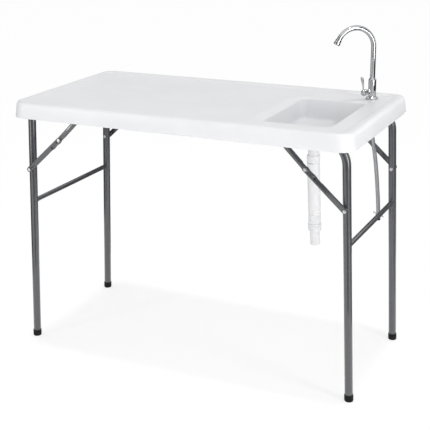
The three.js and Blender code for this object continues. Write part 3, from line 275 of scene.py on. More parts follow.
def plate(corners, thickness, holes):
    """Sheet in the XZ plane from (x, z, radius) corners, y from 0 to thickness.

    A hole is (x, z, radius, stretch), where the stretch up and down Z makes a slot of it.
    """
    bm = bmesh.new()
    verts = [bm.verts.new((x, 0, z)) for x, z, _ in corners]
    bm.faces.new(verts)
    for vert, (_, _, radius) in zip(verts, corners):
        bmesh.ops.bevel(bm, geom=[vert], offset=radius, offset_type="OFFSET", affect="VERTICES",
                        segments=8, profile=0.5, material=-1)
    bmesh.ops.delete(bm, geom=list(bm.faces), context="FACES_ONLY")
    for x, z, radius, stretch in holes:
        rim = bmesh.ops.create_circle(
            bm, radius=radius, segments=24,
            matrix=Matrix.Translation((x, 0, z)) @ Matrix.Rotation(math.pi / 2, 4, "X"))["verts"]
        for sign in (-1, 1):
            half = [vert for vert in rim if sign * (vert.co.z - z) > 0.01]
            bmesh.ops.translate(bm, verts=half, vec=(0, 0, sign * stretch))
    bmesh.ops.triangle_fill(bm, use_beauty=True, edges=bm.edges)
    made = bmesh.ops.extrude_face_region(bm, geom=list(bm.faces))["geom"]
    lifted = [item for item in made if isinstance(item, bmesh.types.BMVert)]
    bmesh.ops.translate(bm, verts=lifted, vec=(0, thickness, 0))
    bmesh.ops.recalc_face_normals(bm, faces=bm.faces)
    rims = []
    for edge in bm.edges:
        facing = sorted(abs(face.normal.y) for face in edge.link_faces)
        if len(facing) == 2 and facing[0] < 0.9 < facing[1]:
            rims.append(edge)
    return eased_edges(bm, rims, EDGE)


def strip(length, half, thickness, holes):
    """A sheet strip with round ends, whose ends' centres lie at 0 and at its length along X."""
    places = ((-half, -half), (length + half, -half), (length + half, half), (-half, half))
    return plate([(x, z, half * ROUND_END) for x, z in places], thickness, holes)


def slab(size, centre=(0, 0, 0), edge=EDGE):
    """A block with eased edges."""
    bm = bmesh.new()
    bmesh.ops.create_cube(bm, size=1)
    bmesh.ops.scale(bm, vec=size, verts=bm.verts)
    bmesh.ops.translate(bm, vec=centre, verts=bm.verts)
    return eased_edges(bm, list(bm.edges), edge)


def joined(*parts):
    """One mesh from several, in order."""
    bm = parts[0]
    for part in parts[1:]:
        mesh = bpy.data.meshes.new("part")
        part.to_mesh(mesh)
        part.free()
        bm.from_mesh(mesh)
        bpy.data.meshes.remove(mesh)
    return bm


def placed(bm, matrix):
    bmesh.ops.transform(bm, matrix=matrix, verts=bm.verts)
    return bm


def standing(place, along_x, along_y):
    """The matrix that stands a shape at a place with its X and Y turned to two directions."""
    turn = Matrix((along_x, along_y, along_x.cross(along_y))).transposed().to_4x4()
    return Matrix.Translation(place) @ turn


def turned_up(place, way):
    """The matrix that stands a shape at a place with its Z turned to a direction."""
    return Matrix.Translation(place) @ UP.rotation_difference(way).to_matrix().to_4x4()


def direction(turn, drop=0):
    """The direction at a turn from +X, dropped below the level."""
    return Vector((math.cos(turn) * math.cos(drop), math.sin(turn) * math.cos(drop), -math.sin(drop)))


def across(bm, place=(0, 0, 0)):
    """Stands a spun shape along +Y at a place."""
    return placed(bm, Matrix.Translation(place) @ Matrix.Rotation(-math.pi / 2, 4, "X"))


def linked_object(name, data):
    made = bpy.data.objects.new(name, data)
    bpy.context.scene.collection.objects.link(made)
    return made


def mesh_object(name, bm):
    mesh = bpy.data.meshes.new(name)
    bm.to_mesh(mesh)
    bm.free()
    return linked_object(name, mesh)


def finished(bm, name, slot, body, *nodes, crease=38):
    """Turns a shape into a piece: in metres, smooth but for its corners, riding on its body."""
    bmesh.ops.transform(bm, matrix=Matrix.Scale(MM, 4), verts=bm.verts)
    limit = math.radians(crease)
    for face in bm.faces:
        face.smooth = True
    for edge in bm.edges:
        edge.smooth = not (edge.is_manifold and edge.calc_face_angle(0) > limit)
    piece = mesh_object(name, bm)
    piece.data.materials.append(bpy.data.materials[slot + FINISH])
    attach(piece, body)
    if nodes:
        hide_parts(*nodes)
    return piece


def dressed(name, slot):
    """Gives a carried-over CAD node its procedural finish."""
    for material_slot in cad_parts[name].material_slots:
        material_slot.material = bpy.data.materials[slot + FINISH]


# Materials

WHITE = (1, 1, 1, 1)


def node(tree, kind, inputs=None, **settings):
    """A new node; an input is a value or another node's output."""
    made = tree.nodes.new(kind)
    for key, value in settings.items():
        setattr(made, key, value)
    for key, value in (inputs or {}).items():
        if isinstance(value, bpy.types.NodeSocket):
            tree.links.new(value, made.inputs[key])
        else:
            made.inputs[key].default_value = value
    return made


def math_node(tree, operation, *values):
    return node(tree, "ShaderNodeMath", dict(enumerate(values)), operation=operation).outputs[0]


class Surface:
    """A principled material with patterns on Object coordinates or on the piece's own map."""

    def __init__(self, name, inputs, coords="Object"):
        material = bpy.data.materials.new(name + FINISH)
        material.use_nodes = True
        self.tree = material.node_tree
        self.shader = self.tree.nodes["Principled BSDF"]
        for key, value in inputs.items():
            self.shader.inputs[key].default_value = value
        self.coords = node(self.tree, "ShaderNodeTexCoord").outputs[coords]
        self.relief = None

    def noise(self, scale, detail=3, roughness=0.5):
        inputs = {"Vector": self.coords, "Scale": scale, "Detail": detail, "Roughness": roughness}
        return node(self.tree, "ShaderNodeTexNoise", inputs).outputs["Fac"]

    def spread(self, source, low, high, start=0.3, end=0.7):
        inputs = {"Value": source, "From Min": start, "From Max": end, "To Min": low, "To Max": high}
        return node(self.tree, "ShaderNodeMapRange", inputs).outputs["Result"]

    def colours(self, source, dark, light, start=0.35, end=0.65):
        ramp = node(self.tree, "ShaderNodeValToRGB", {"Fac": source})
        for stop, place, colour in zip(ramp.color_ramp.elements, (start, end), (dark, light)):
            stop.position = place
            stop.color = (*colour, 1)
        self.tree.links.new(ramp.outputs["Color"], self.shader.inputs["Base Color"])

    def bump(self, source, strength, distance):
        inputs = {"Height": source, "Strength": strength, "Distance": distance}
        if self.relief:
            inputs["Normal"] = self.relief
        self.relief = node(self.tree, "ShaderNodeBump", inputs).outputs["Normal"]
        self.tree.links.new(self.relief, self.shader.inputs["Normal"])


def shaded(colour, factor):
    return tuple(min(1.0, channel * factor) for channel in colour)


def patterned(name, tints, gloss, *bumps, **inputs):
    """A material whose colour, gloss and relief vary by noise.

    tints is (noise, dark, light), gloss is (noise, low, high) and each bump is (noise, strength,
    distance), where a noise is (scale, detail, roughness). The inputs have _ for a space.
    """
    surface = Surface(name, {key.replace("_", " "): value for key, value in inputs.items()})
    surface.colours(surface.noise(*tints[0]), *tints[1:])
    roughness = surface.spread(surface.noise(*gloss[0]), *gloss[1:])
    surface.tree.links.new(roughness, surface.shader.inputs["Roughness"])
    for noise, strength, distance in bumps:
        surface.bump(surface.noise(*noise), strength, distance)


def braid_material(colour):
    """Two sets of wires that cross on the hose's own map, U round it and V along it in metres."""
    surface = Surface("braid", {"Metallic": 0.85, "Roughness": 0.33}, coords="UV")
    tree = surface.tree
    place = node(tree, "ShaderNodeSeparateXYZ", {"Vector": surface.coords}).outputs
    wires_round, wires_per_metre = 12, 340
    waves = []
    for hand in (1, -1):
        around = math_node(tree, "MULTIPLY", place["X"], math.tau * wires_round)
        along = math_node(tree, "MULTIPLY", place["Y"], hand * math.tau * wires_per_metre)
        waves.append(math_node(tree, "SINE", math_node(tree, "ADD", around, along)))
    crossed = math_node(tree, "MULTIPLY", *waves)
    surface.colours(
        surface.spread(crossed, 0, 1, -0.8, 0.8), shaded(colour, 0.45), shaded(colour, 1.35), 0.15, 0.7)
    surface.bump(crossed, 0.5, 0.0004)


class TABLE_OT_surfaces(bpy.types.Operator):
    """Makes the procedural materials that the pieces share"""

    bl_idname = "table.surfaces"
    bl_label = "Surfaces"

    def execute(self, context):
        scene = context.scene
        white, coat = tuple(scene.table_top.colour), tuple(scene.table_frames.colour)
        rubber, chrome = tuple(scene.table_frames.cap_colour), tuple(scene.table_tap.colour)
        pipe = tuple(scene.table_drain.colour)
        patterned("moulding", ((9, 4), shaded(white, 0.982), shaded(white, 1.012)),
                  ((60, 4), 0.34, 0.39), ((1 / scene.table_top.grain, 2, 0.55), 0.04, 0.0001),
                  ((9, 2), 0.01, 0.001))
        patterned("frame_coat", ((420,), shaded(coat, 0.88), shaded(coat, 1.14)), ((35, 4), 0.30, 0.42),
                  ((900, 2, 0.6), 0.03, 0.0001),
                  IOR=1.3, Coat_Weight=1.0, Coat_IOR=1.75, Coat_Roughness=0.14)
        patterned("rubber", ((160, 4), shaded(rubber, 0.75), shaded(rubber, 1.6)), ((220,), 0.5, 0.75),
                  ((1100, 2), 0.3, 0.0001), IOR=1.3)
        patterned("zinc", ((520, 4), (0.62, 0.62, 0.63), (0.82, 0.82, 0.83)), ((300, 4), 0.25, 0.42),
                  ((1400, 2), 0.08, 0.00008), Metallic=1)
        patterned("chrome", ((30,), shaded(chrome, 0.96), chrome), ((90, 5, 0.65), 0.04, 0.09),
                  Metallic=1, Specular_Tint=(0.1, 0.1, 0.1, 1))
        patterned("pipe", ((40,), shaded(pipe, 0.95), shaded(pipe, 0.98)), ((150,), 0.38, 0.44),
                  ((700, 2), 0.03, 0.0001))
        braid_material(tuple(scene.table_tap.braid_colour))
        return {"FINISHED"}


# Table top

CORNER_STEPS = 12


def rounded_outline(half_x, half_y, corner, height, centre_x=0, centre_y=0):
    """Places along a rectangle with round corners, at one height."""
    places = []
    for quarter, (sign_x, sign_y) in enumerate(((1, 1), (-1, 1), (-1, -1), (1, -1))):
        for i in range(CORNER_STEPS + 1):
            turn = (quarter + i / CORNER_STEPS) * math.pi / 2
            places.append(Vector((
                centre_x + sign_x * (half_x - corner) + corner * math.cos(turn),
                centre_y + sign_y * (half_y - corner) + corner * math.sin(turn),
                height)))
    return places


def drain_circle(radius, height, sides=48):
    """Places along a circle round the drain's axis."""
    return [Vector((BASIN_X + radius * math.cos(math.tau * i / sides),
                    BASIN_Y + radius * math.sin(math.tau * i / sides), height)) for i in range(sides)]


def eased(share):
    share = max(0.0, min(1.0, share))
    return share * share * (3 - 2 * share)


def quarter_round(inset, height, run, rise, steps, concave=False):
    """(inset, height) points of a quarter round, off a flat or, where concave, on to one."""
    points = []
    for i in range(steps + 1):
        turn = math.pi / 2 * i / steps
        if concave:
            points.append((inset + run * (1 - math.cos(turn)), height + rise * (1 - math.sin(turn))))
        else:
            points.append((inset + run * math.sin(turn), height - rise * (1 - math.cos(turn))))
    return points


class TABLE_OT_top(bpy.types.Operator):
    """Makes the moulded top with its rim, its recess, its skirt and its sink"""

    bl_idname = "table.top"
    bl_label = "Moulded top"

    half_x, half_y, corner = 571.5, 301.5, 50
    draft, edge_run = 5.5, 13
    crest_width, rim_slope, rim_steps = 9.5, 18, 14
    sink_half_x, sink_half_y, sink_corner = 117.5, 182.5, 36
    lip, wall_draft, floor_round, shell = 7, 5, 14, 4.5
    surround = 34
    ramp_run, ramp_drop, ramp_shoulder, ramp_side = 25, 6.5, 12, 16
    seat_radius, hole_radius = 31, 17.3

    def rim_levels(self, edge_round):
        """(inset, height) from the underside, round the skirt and the crest, to the recess."""
        levels = [(12.5, UNDERSIDE), (10.4, UNDERSIDE), (7.1, SKIRT_FOOT + 0.8), (6.3, SKIRT_FOOT),
                  (2, SKIRT_FOOT), (0.6, SKIRT_FOOT + 0.6), (0, SKIRT_FOOT + 2)]
        levels += quarter_round(self.draft, TOP_HEIGHT, self.edge_run, -edge_round, 9, concave=True)
        slope_start = self.draft + self.edge_run + self.crest_width
        for i in range(self.rim_steps + 1):
            share = i / self.rim_steps
            drop = (TOP_HEIGHT - RECESS_FLOOR) * eased((share - 0.12) / 0.6)
            levels.append((slope_start + self.rim_slope * share, TOP_HEIGHT - drop))
        levels.append((slope_start + self.rim_slope + 2.5, RECESS_FLOOR))
        return levels

    def sink_outline(self, inset, height):
        return rounded_outline(
            self.sink_half_x - inset, self.sink_half_y - inset, self.sink_corner - inset, height,
            BASIN_X, BASIN_Y)

    def with_ramp(self, outline):
        """Lowers the places left of the sink, where the work area leads into it."""
        start = BASIN_X - self.sink_half_x - self.ramp_run
        reach = self.ramp_run + self.lip
        half = self.sink_half_y - self.ramp_shoulder
        for place in outline:
            if place.x < BASIN_X:
                inward = eased((place.x - start) / reach)
                beside = eased((half - abs(place.y - BASIN_Y)) / self.ramp_side)
                place.z -= self.ramp_drop * inward * beside
        return outline

    def execute(self, context):
        edge_round = context.scene.table_top.edge_round / MM
        bm = bmesh.new()
        ceiling, recess = grown_rings(bm, [
            rounded_outline(self.half_x - inset, self.half_y - inset, self.corner - inset, height)
            for inset, height in self.rim_levels(edge_round)])

        wall_foot = self.lip + self.wall_draft
        levels = [(-step, RECESS_FLOOR) for step in range(self.surround, 0, -2)]
        levels += quarter_round(0, RECESS_FLOOR, self.lip, self.lip, 7)
        outlines = [self.with_ramp(self.sink_outline(*level)) for level in levels]
        levels = quarter_round(
            wall_foot, BASIN_FLOOR, self.floor_round, self.floor_round, 7, concave=True)
        levels.append((wall_foot + self.floor_round + 2, BASIN_FLOOR))
        outlines += [self.sink_outline(*level) for level in levels]
        surround, sink_floor = grown_rings(bm, outlines)

        levels = [(1.5, UNDERSIDE), (3.8, UNDERSIDE)]
        levels += quarter_round(wall_foot - self.shell, BASIN_UNDER, self.floor_round + 2.7,
                                self.floor_round, 6, concave=True)
        levels.append((wall_foot + self.floor_round + 0.5, BASIN_UNDER))
        shell_top, shell_floor = grown_rings(bm, [self.sink_outline(*level) for level in levels])

        seat = BASIN_FLOOR - SEAT_DEPTH
        seat_rim, hole_foot = grown_rings(bm, [drain_circle(*level) for level in (
            (self.seat_radius + 2, BASIN_FLOOR), (self.seat_radius, BASIN_FLOOR),
            (self.seat_radius - 0.4, seat), (self.hole_radius, seat),
            (self.hole_radius, BASIN_UNDER), (self.hole_radius + 3, BASIN_UNDER))])
        for outer, inner in ((recess, surround), (sink_floor, seat_rim), (ceiling, shell_top),
                             (shell_floor, hole_foot)):
            bmesh.ops.triangle_fill(bm, use_beauty=True, edges=outer + inner)
        bmesh.ops.recalc_face_normals(bm, faces=bm.faces)
        finished(bm, "moulded_top", "moulding", "top", "table_top", crease=60)
        return {"FINISHED"}


# Frames

def leg_line_x(height):
    return FOOT_X - SPLAY_X * height / SKIRT_FOOT


def leg_line_y(height):
    return FOOT_Y - SPLAY_Y * height / SKIRT_FOOT


def leg_matrix(side, end):
    """A leg's own axes at its foot: Z up along it, X away from the table's middle."""
    along = Vector((-side * SPLAY_X, -end * SPLAY_Y, SKIRT_FOOT))
    return station_matrix(Vector((side * FOOT_X, end * FOOT_Y, 0)), along, Vector((side, 0, 0)))


def rivet_head(height):
    """The end of a rivet's profile, from the foot of its head."""
    return (RIVET_SHANK, height), (RIVET_HEAD, height), (RIVET_HEAD, height + 2, 2.4)


class TABLE_OT_frames(bpy.types.Operator):
    """Makes the two tube frames with their lugs, crossbars, rivets and foot caps"""

    bl_idname = "table.frames"
    bl_label = "Folding frames"

    tube_foot = CAP_FLOOR + FIT
    bend_start, bend_radius, bend_angle = UNDERSIDE - 78, 80, math.radians(45)
    straight_head = UNDERSIDE - 16
    pivots = {"right": (476, 784), "left": (487, 801)}
    lug_overlap, lug_half, lug_sheet, eye_radius = 10, 9.6, 4, 4.3
    leg_radius = 12.5
    bead_inset = 12.2

    def leg(self, side_name, side, end, radius):
        """A leg with the lug on which its frame folds."""
        foot = Vector((0, 0, self.tube_foot))
        if side_name == "right":
            stations = bend_stations(
                foot, UP, Vector((-1, 0, 0)), self.bend_start - self.tube_foot, self.bend_radius,
                self.bend_angle)
        else:
            stations = [(foot, UP), (Vector((0, 0, self.straight_head)), UP)]
        tube = swept(stations, radius, sides=40, end_round=0.6)
        pivot_x, pivot_z = self.pivots[side_name]
        eye = leg_matrix(side, 1).inverted() @ Vector((side * pivot_x, leg_line_y(pivot_z), pivot_z))
        point, tangent = stations[-1]
        root = point - tangent * self.lug_overlap
        run = Vector((eye.x - root.x, 0, eye.z - root.z))
        lug = strip(run.length, self.lug_half, self.lug_sheet, [(run.length, 0, self.eye_radius, 0)])
        root.y = -self.lug_sheet / 2
        placed(lug, standing(root, run.normalized(), BACKWARD))
        return placed(joined(tube, lug), leg_matrix(side, end))

    def cap(self, side, end):
        """A foot cap, cut level with the floor."""
        bm = turned([(12.6, -2), (12.6, 0.2), (14, 2.6, 1.6), (14, 21, 1.4), (12.8, 21, 0.4),
                     (12.8, CAP_FLOOR)], 40)
        placed(bm, leg_matrix(side, end))
        bmesh.ops.bisect_plane(
            bm, geom=list(bm.verts) + list(bm.edges) + list(bm.faces), plane_co=(0, 0, 0),
            plane_no=(0, 0, -1), clear_outer=True)
        bmesh.ops.holes_fill(bm, edges=[edge for edge in bm.edges if edge.is_boundary])
        bmesh.ops.recalc_face_normals(bm, faces=bm.faces)
        return bm

    def rivet(self):
        """A shouldered rivet along Y through the leg, from the leg's centreline."""
        leg_side = self.leg_radius + FIT
        lane = LOWER_LANE - leg_line_y(BRACE_FOOT_HEIGHT)
        return across(turned([
            (RIVET_HEAD, -leg_side - 2, 2.2), (RIVET_HEAD, -leg_side), (RIVET_SHANK, -leg_side),
            (RIVET_SHANK, leg_side), (6, leg_side), (6, lane - FIT), (RIVET_SHANK, lane - FIT),
            *rivet_head(lane + LINK_SHEET + FIT)], 32))

    def crossbar(self, side, radius):
        """A crossbar with a bead of weld at each leg."""
        half = leg_line_y(CROSSBAR_HEIGHT)
        x = side * leg_line_x(CROSSBAR_HEIGHT)
        bar = swept([(Vector((x, sign * half, CROSSBAR_HEIGHT)), BACKWARD) for sign in (-1, 1)],
                    radius, side=UP)
        for sign in (-1, 1):
            bead = spun([(8.0, -1.4), (9.6, 0, 1.2), (8.0, 2.6)], 32, closed=True)
            place = Vector((x, sign * (half - self.bead_inset), CROSSBAR_HEIGHT))
            bar = joined(bar, placed(bead, standing(place, Vector((sign, 0, 0)), UP)))
        return bar

    def execute(self, context):
        settings = context.scene.table_frames
        for side_name, side in SIDES:
            body = side_name + "_frame"
            finished(self.crossbar(side, settings.crossbar_diameter / MM / 2),
                     side_name + "_crossbar_tube", "frame_coat", body, side_name + "_crossbar")
            for end_name, end in ENDS:
                corner = f"{side_name}_{end_name}"
                place = Vector((side * leg_line_x(BRACE_FOOT_HEIGHT),
                                end * leg_line_y(BRACE_FOOT_HEIGHT), BRACE_FOOT_HEIGHT))
                at_rivet = standing(place, Vector((end, 0, 0)), Vector((0, end, 0)))
                leg = self.leg(side_name, side, end, settings.tube_diameter / MM / 2)
                for bm, name, slot, replaced in (
                        (leg, "leg_tube", "frame_coat", "leg"),
                        (self.cap(side, end), "cap", "rubber", "foot_cap"),
                        (placed(self.rivet(), at_rivet), "shoulder_rivet", "zinc", "leg_rivet")):
                    finished(bm, f"{corner}_{name}", slot, body, f"{corner}_{replaced}")
        return {"FINISHED"}


# Braces

class TABLE_OT_braces(bpy.types.Operator):
    """Makes the folding two-link braces with their latch plates and rivets, and dresses the brackets"""

    bl_idname = "table.braces"
    bl_label = "Folding braces"

    lower_length = math.hypot(leg_line_x(BRACE_FOOT_HEIGHT) - KNEE_X, KNEE_HEIGHT - BRACE_FOOT_HEIGHT)
    upper_length = math.hypot(KNEE_X - BRACE_HEAD_X, BRACE_HEAD_HEIGHT - KNEE_HEIGHT)
    lower_half, upper_half = 8.5, 8
    pin_hole = 3.8
    slot_back, dimple_back, latch_back, latch_rise = 12, 26, 38, 3
    flange_sheet, lower_start, upper_start, latch_plate = 1.8, 14, 20, 62

    def flanges(self, start, length, depth, half):
        """Two flanges along a link's edges, which stand inwards from the middle of its sheet."""
        x, y, z = start + length / 2, (LINK_SHEET - depth) / 2, half - self.flange_sheet / 2
        return [slab((length, depth, self.flange_sheet), (x, y, sign * z), 0.7) for sign in (-1, 1)]

    def lower_link(self):
        knee, half = self.lower_length, self.lower_half
        round_end = half * ROUND_END
        web = plate([
            (-half, -half, round_end), (knee + 9, -half, 5), (knee + 9, 7, 3), (knee + 3, 11, 3.5),
            (knee - 4, 11, 3.5), (knee - 14, 8.4, 7), (knee - 26, 10.4, 5), (knee - 35, 11, 5),
            (knee - 45, half, 6), (-half, half, round_end)], LINK_SHEET, [
                (0, 0, self.pin_hole, 0), (knee, 0, self.pin_hole, 0),
                (knee - self.slot_back, 0, 1.5, 3), (knee - self.latch_back, self.latch_rise, 3.5, 0)])
        dimple = across(spun([(3, -0.6), (3, 1.2, 1.2), (0, 1.2)], 20),
                        (knee - self.dimple_back, LINK_SHEET, self.latch_rise))
        flanges = self.flanges(self.lower_start, knee - self.latch_plate - self.lower_start, 3.6, half)
        return joined(web, *flanges, dimple)

    def latch_plugs(self):
        """Painted shade: black plugs that fill the latch's hole and slot, so that they read as dark as
        the shade seen in them.
        """
        knee = self.lower_length
        hole_shade = across(spun([(0, 0.3), (3.42, 0.3), (3.42, 1.3, 0.4), (0, 1.0)], 32),
                      (knee - self.latch_back, 0, self.latch_rise))
        return joined(hole_shade, slab((2.9, 1, 8.7), (knee - self.slot_back, 0.8, 0)))

    def upper_link(self):
        length, half = self.upper_length, self.upper_half
        web = strip(length, half, LINK_SHEET, [(0, 0, self.pin_hole, 0)])
        boss = across(turned([(RIVET_HEAD, -2, 2), (RIVET_HEAD, 1.1)], 28), (length, 0, 0))
        start = self.upper_start
        return joined(web, *self.flanges(start, length - 2 * start, 4.6, half), boss)

    def knee_rivet(self):
        return across(turned([(RIVET_SHANK, 0), *rivet_head(LINK_SHEET + FIT)], 32))

    def brace(self, corner, side, end):
        """Makes one brace where it stands, and dresses its brackets."""
        out = Vector((0, end, 0))
        foot = Vector((side * leg_line_x(BRACE_FOOT_HEIGHT), end * LOWER_LANE, BRACE_FOOT_HEIGHT))
        knee = Vector((side * KNEE_X, end * LOWER_LANE, KNEE_HEIGHT))
        head = Vector((side * BRACE_HEAD_X, end * UPPER_LANE, BRACE_HEAD_HEIGHT))
        upper_run = Vector((knee.x - head.x, 0, knee.z - head.z))
        at_foot = standing(foot, (knee - foot).normalized(), out)
        at_knee = standing(knee, Vector((end, 0, 0)), out)
        at_head = standing(head, upper_run.normalized(), out)
        for bm, place, name, slot, link, *replaced in (
                (self.lower_link(), at_foot, "lower_brace_link", "frame_coat", "lower", "lower_link"),
                # The latch's black plugs are painted shade: they darken the hole and slot as shade
                # would.
                (self.latch_plugs(), at_foot, "latch_plugs", "rubber", "lower"),
                (self.knee_rivet(), at_knee, "knee_rivet_head", "zinc", "lower", "knee_rivet"),
                (self.upper_link(), at_head, "upper_brace_link", "frame_coat", "upper", "upper_link")):
            finished(placed(bm, place), f"{corner}_{name}", slot, f"{corner}_{link}_brace",
                     *(f"{corner}_{cad}" for cad in replaced))
        dressed(corner + "_brace_bracket", "frame_coat")
        dressed(corner + "_pivot_bracket", "frame_coat")
        dressed(corner + "_pivot_pin", "zinc")

    def execute(self, context):
        for side_name, side in SIDES:
            for end_name, end in ENDS:
                self.brace(f"{side_name}_{end_name}", side, end)
        return {"FINISHED"}


# Drain

def groove(middle, radius, depth, reach, brow, corner):
    """Points of a groove round a spun piece."""
    return [(radius, middle - reach, brow), (radius - depth, middle - 0.6, corner),
            (radius - depth, middle + 0.6, corner), (radius, middle + reach, brow)]


class TABLE_OT_drain(bpy.types.Operator):
    """Makes the strainer, the threaded neck, its nut, the ribbed hose, the cuff and the spigot"""

    bl_idname = "table.drain"
    bl_label = "Drain"

    seat = BASIN_FLOOR - SEAT_DEPTH
    hole_rings = ((12.6, 2.6), (8.7, 1.95))
    hole_count = 12
    neck_foot, neck_radius, neck_flange, flange_sheet, gasket = 680, 17, 27, 4, 3
    bridge_drop, screw_drop = 25, 30
    nut_top, nut_foot, nut_radius = 697, 673, 20.7
    flute_count, flute_depth = 24, 0.55
    hose_radius, hose_foot = 19.4, 476
    rib_top, rib_pitch, rib_count = 524, 8, 5
    cuff_height, cuff_radius = 23, 20.9
    spigot_foot = 405
    lean = math.radians(2.4)

    def strainer(self):
        seat = self.seat + FIT
        return turned([(29, seat, 0.8), (29, seat + 1.2, 0.8), (26, seat + 3, 1.2), (20, seat + 3, 1.5),
                       (17, seat + 1.8, 1)], 72, bore=2.7)

    def pierce(self, piece):
        """Cuts the two rings of holes."""
        cutter = bmesh.new()
        for i in range(self.hole_count):
            circle, radius = self.hole_rings[i % 2]
            turn = math.tau * i / self.hole_count
            bmesh.ops.create_cone(
                cutter, cap_ends=True, segments=20, radius1=radius, radius2=radius, depth=8,
                matrix=Matrix.Translation((BASIN_X + circle * math.cos(turn),
                                           BASIN_Y + circle * math.sin(turn), self.seat + 1)))
        holes = mesh_object("holes", placed(cutter, Matrix.Scale(MM, 4)))
        cut = piece.modifiers.new("holes", "BOOLEAN")
        cut.operation = "DIFFERENCE"
        cut.object = holes
        cut.solver = "EXACT"
        graph = bpy.context.evaluated_depsgraph_get()
        pierced = bpy.data.meshes.new_from_object(piece.evaluated_get(graph))
        piece.modifiers.clear()
        piece.data = pierced
        bpy.data.objects.remove(holes)
        for face in pierced.polygons:
            face.use_smooth = True

    def screw(self):
        foot, head = self.seat - self.screw_drop, self.seat + 2.4
        shank = turned([(2.4, foot, 0.5), (2.4, head), (5, head, 0.3), (4.6, head + 1.8, 1)], 32)
        return joined(shank, slab((7.4, 0.9, 1.2), (0, 0, head + 1.7), 0.1))

    def neck(self):
        """The tailpiece with its flange, and the bridge that holds the strainer's screw."""
        flange, radius = self.neck_flange, self.neck_radius
        top = BASIN_UNDER - self.gasket - 2 * FIT
        under = top - self.flange_sheet
        tube = turned([(radius, self.neck_foot, 0.4), (radius, under, 0.8), (flange, under, 0.9),
                       (flange, top, 0.9), (radius, top), (radius, self.seat - FIT)], 72, bore=14.6)
        return joined(tube, slab((31, 5, 6), (0, 0, self.seat - self.bridge_drop), 0.6))

    def nut(self):
        """The slip nut, with flutes in its wall."""
        foot, top, outer = self.nut_foot, self.nut_top, self.nut_radius
        bm = turned([(19.6, foot, 0.8), (outer, foot + 1.6, 0.8), (outer, top - 1.6, 0.8),
                     (19.2, top, 0.8)], 120, bore=17.3)
        for vert in bm.verts:
            radius = math.hypot(vert.co.x, vert.co.y)
            if radius > outer - 0.4 and foot + 1 < vert.co.z < top - 1:
                turn = math.atan2(vert.co.y, vert.co.x)
                depth = self.flute_depth * max(0, math.cos(self.flute_count * turn)) ** 3
                vert.co.x *= 1 - depth / radius
                vert.co.y *= 1 - depth / radius
        return bm

    def hose(self, top):
        radius, foot = self.hose_radius, self.hose_foot - top
        ribs = []
        for i in range(self.rib_count):
            middle = self.rib_top - (self.rib_count - 0.5 - i) * self.rib_pitch - top
            ribs += groove(middle, radius, 0.9, 2.4, 1, 0.8)
        return turned([(radius, foot, 0.8), *ribs, (radius, 0, 0.8)], 72, bore=17.4)

    def cuff(self, top):
        head = self.hose_foot - FIT - top
        foot, radius = head - self.cuff_height, self.cuff_radius
        grooves = []
        for share in (0.36, 0.7):
            grooves += groove(foot + self.cuff_height * share, radius, 1.2, 1.3, 0.4, 0.5)
        return turned([(radius - 0.8, foot, 0.6), (radius, foot + 1.4, 0.8), *grooves,
                       (radius, head - 1.4, 0.8), (radius - 0.8, head, 0.6)], 72, bore=15.9)

    def spigot(self, top):
        head, foot = self.hose_foot - FIT - top, self.spigot_foot - top
        return turned([(15.2, foot, 0.8), (15.6, foot + 2, 1), (15.6, head)], 56, bore=13.6)

    def execute(self, context):
        centre = Matrix.Translation((BASIN_X, BASIN_Y, 0))
        strainer = placed(self.strainer(), centre)
        self.pierce(finished(strainer, "strainer_dish", "chrome", "top", "sink_strainer"))
        dressed("drain_gasket", "rubber")
        top = self.nut_foot - FIT - self.hose_radius * math.sin(self.lean)
        hanging = Matrix.Translation((BASIN_X, BASIN_Y, top)) @ Matrix.Rotation(-self.lean, 4, "Y")
        for bm, place, name, slot, replaced in (
                (self.screw(), centre, "strainer_fixing", "chrome", "strainer_screw"),
                (self.neck(), centre, "drain_neck", "pipe", "drain_tailpiece"),
                (self.nut(), centre, "drain_ring_nut", "pipe", "drain_nut"),
                (self.hose(top), hanging, "drain_pipe_hose", "pipe", "drain_hose"),
                (self.cuff(top), hanging, "drain_pipe_cuff", "pipe", "drain_cuff"),
                (self.spigot(top), hanging, "drain_outlet", "pipe", "drain_spigot")):
            finished(placed(bm, place), name, slot, "top", replaced)
        return {"FINISHED"}


# Tap

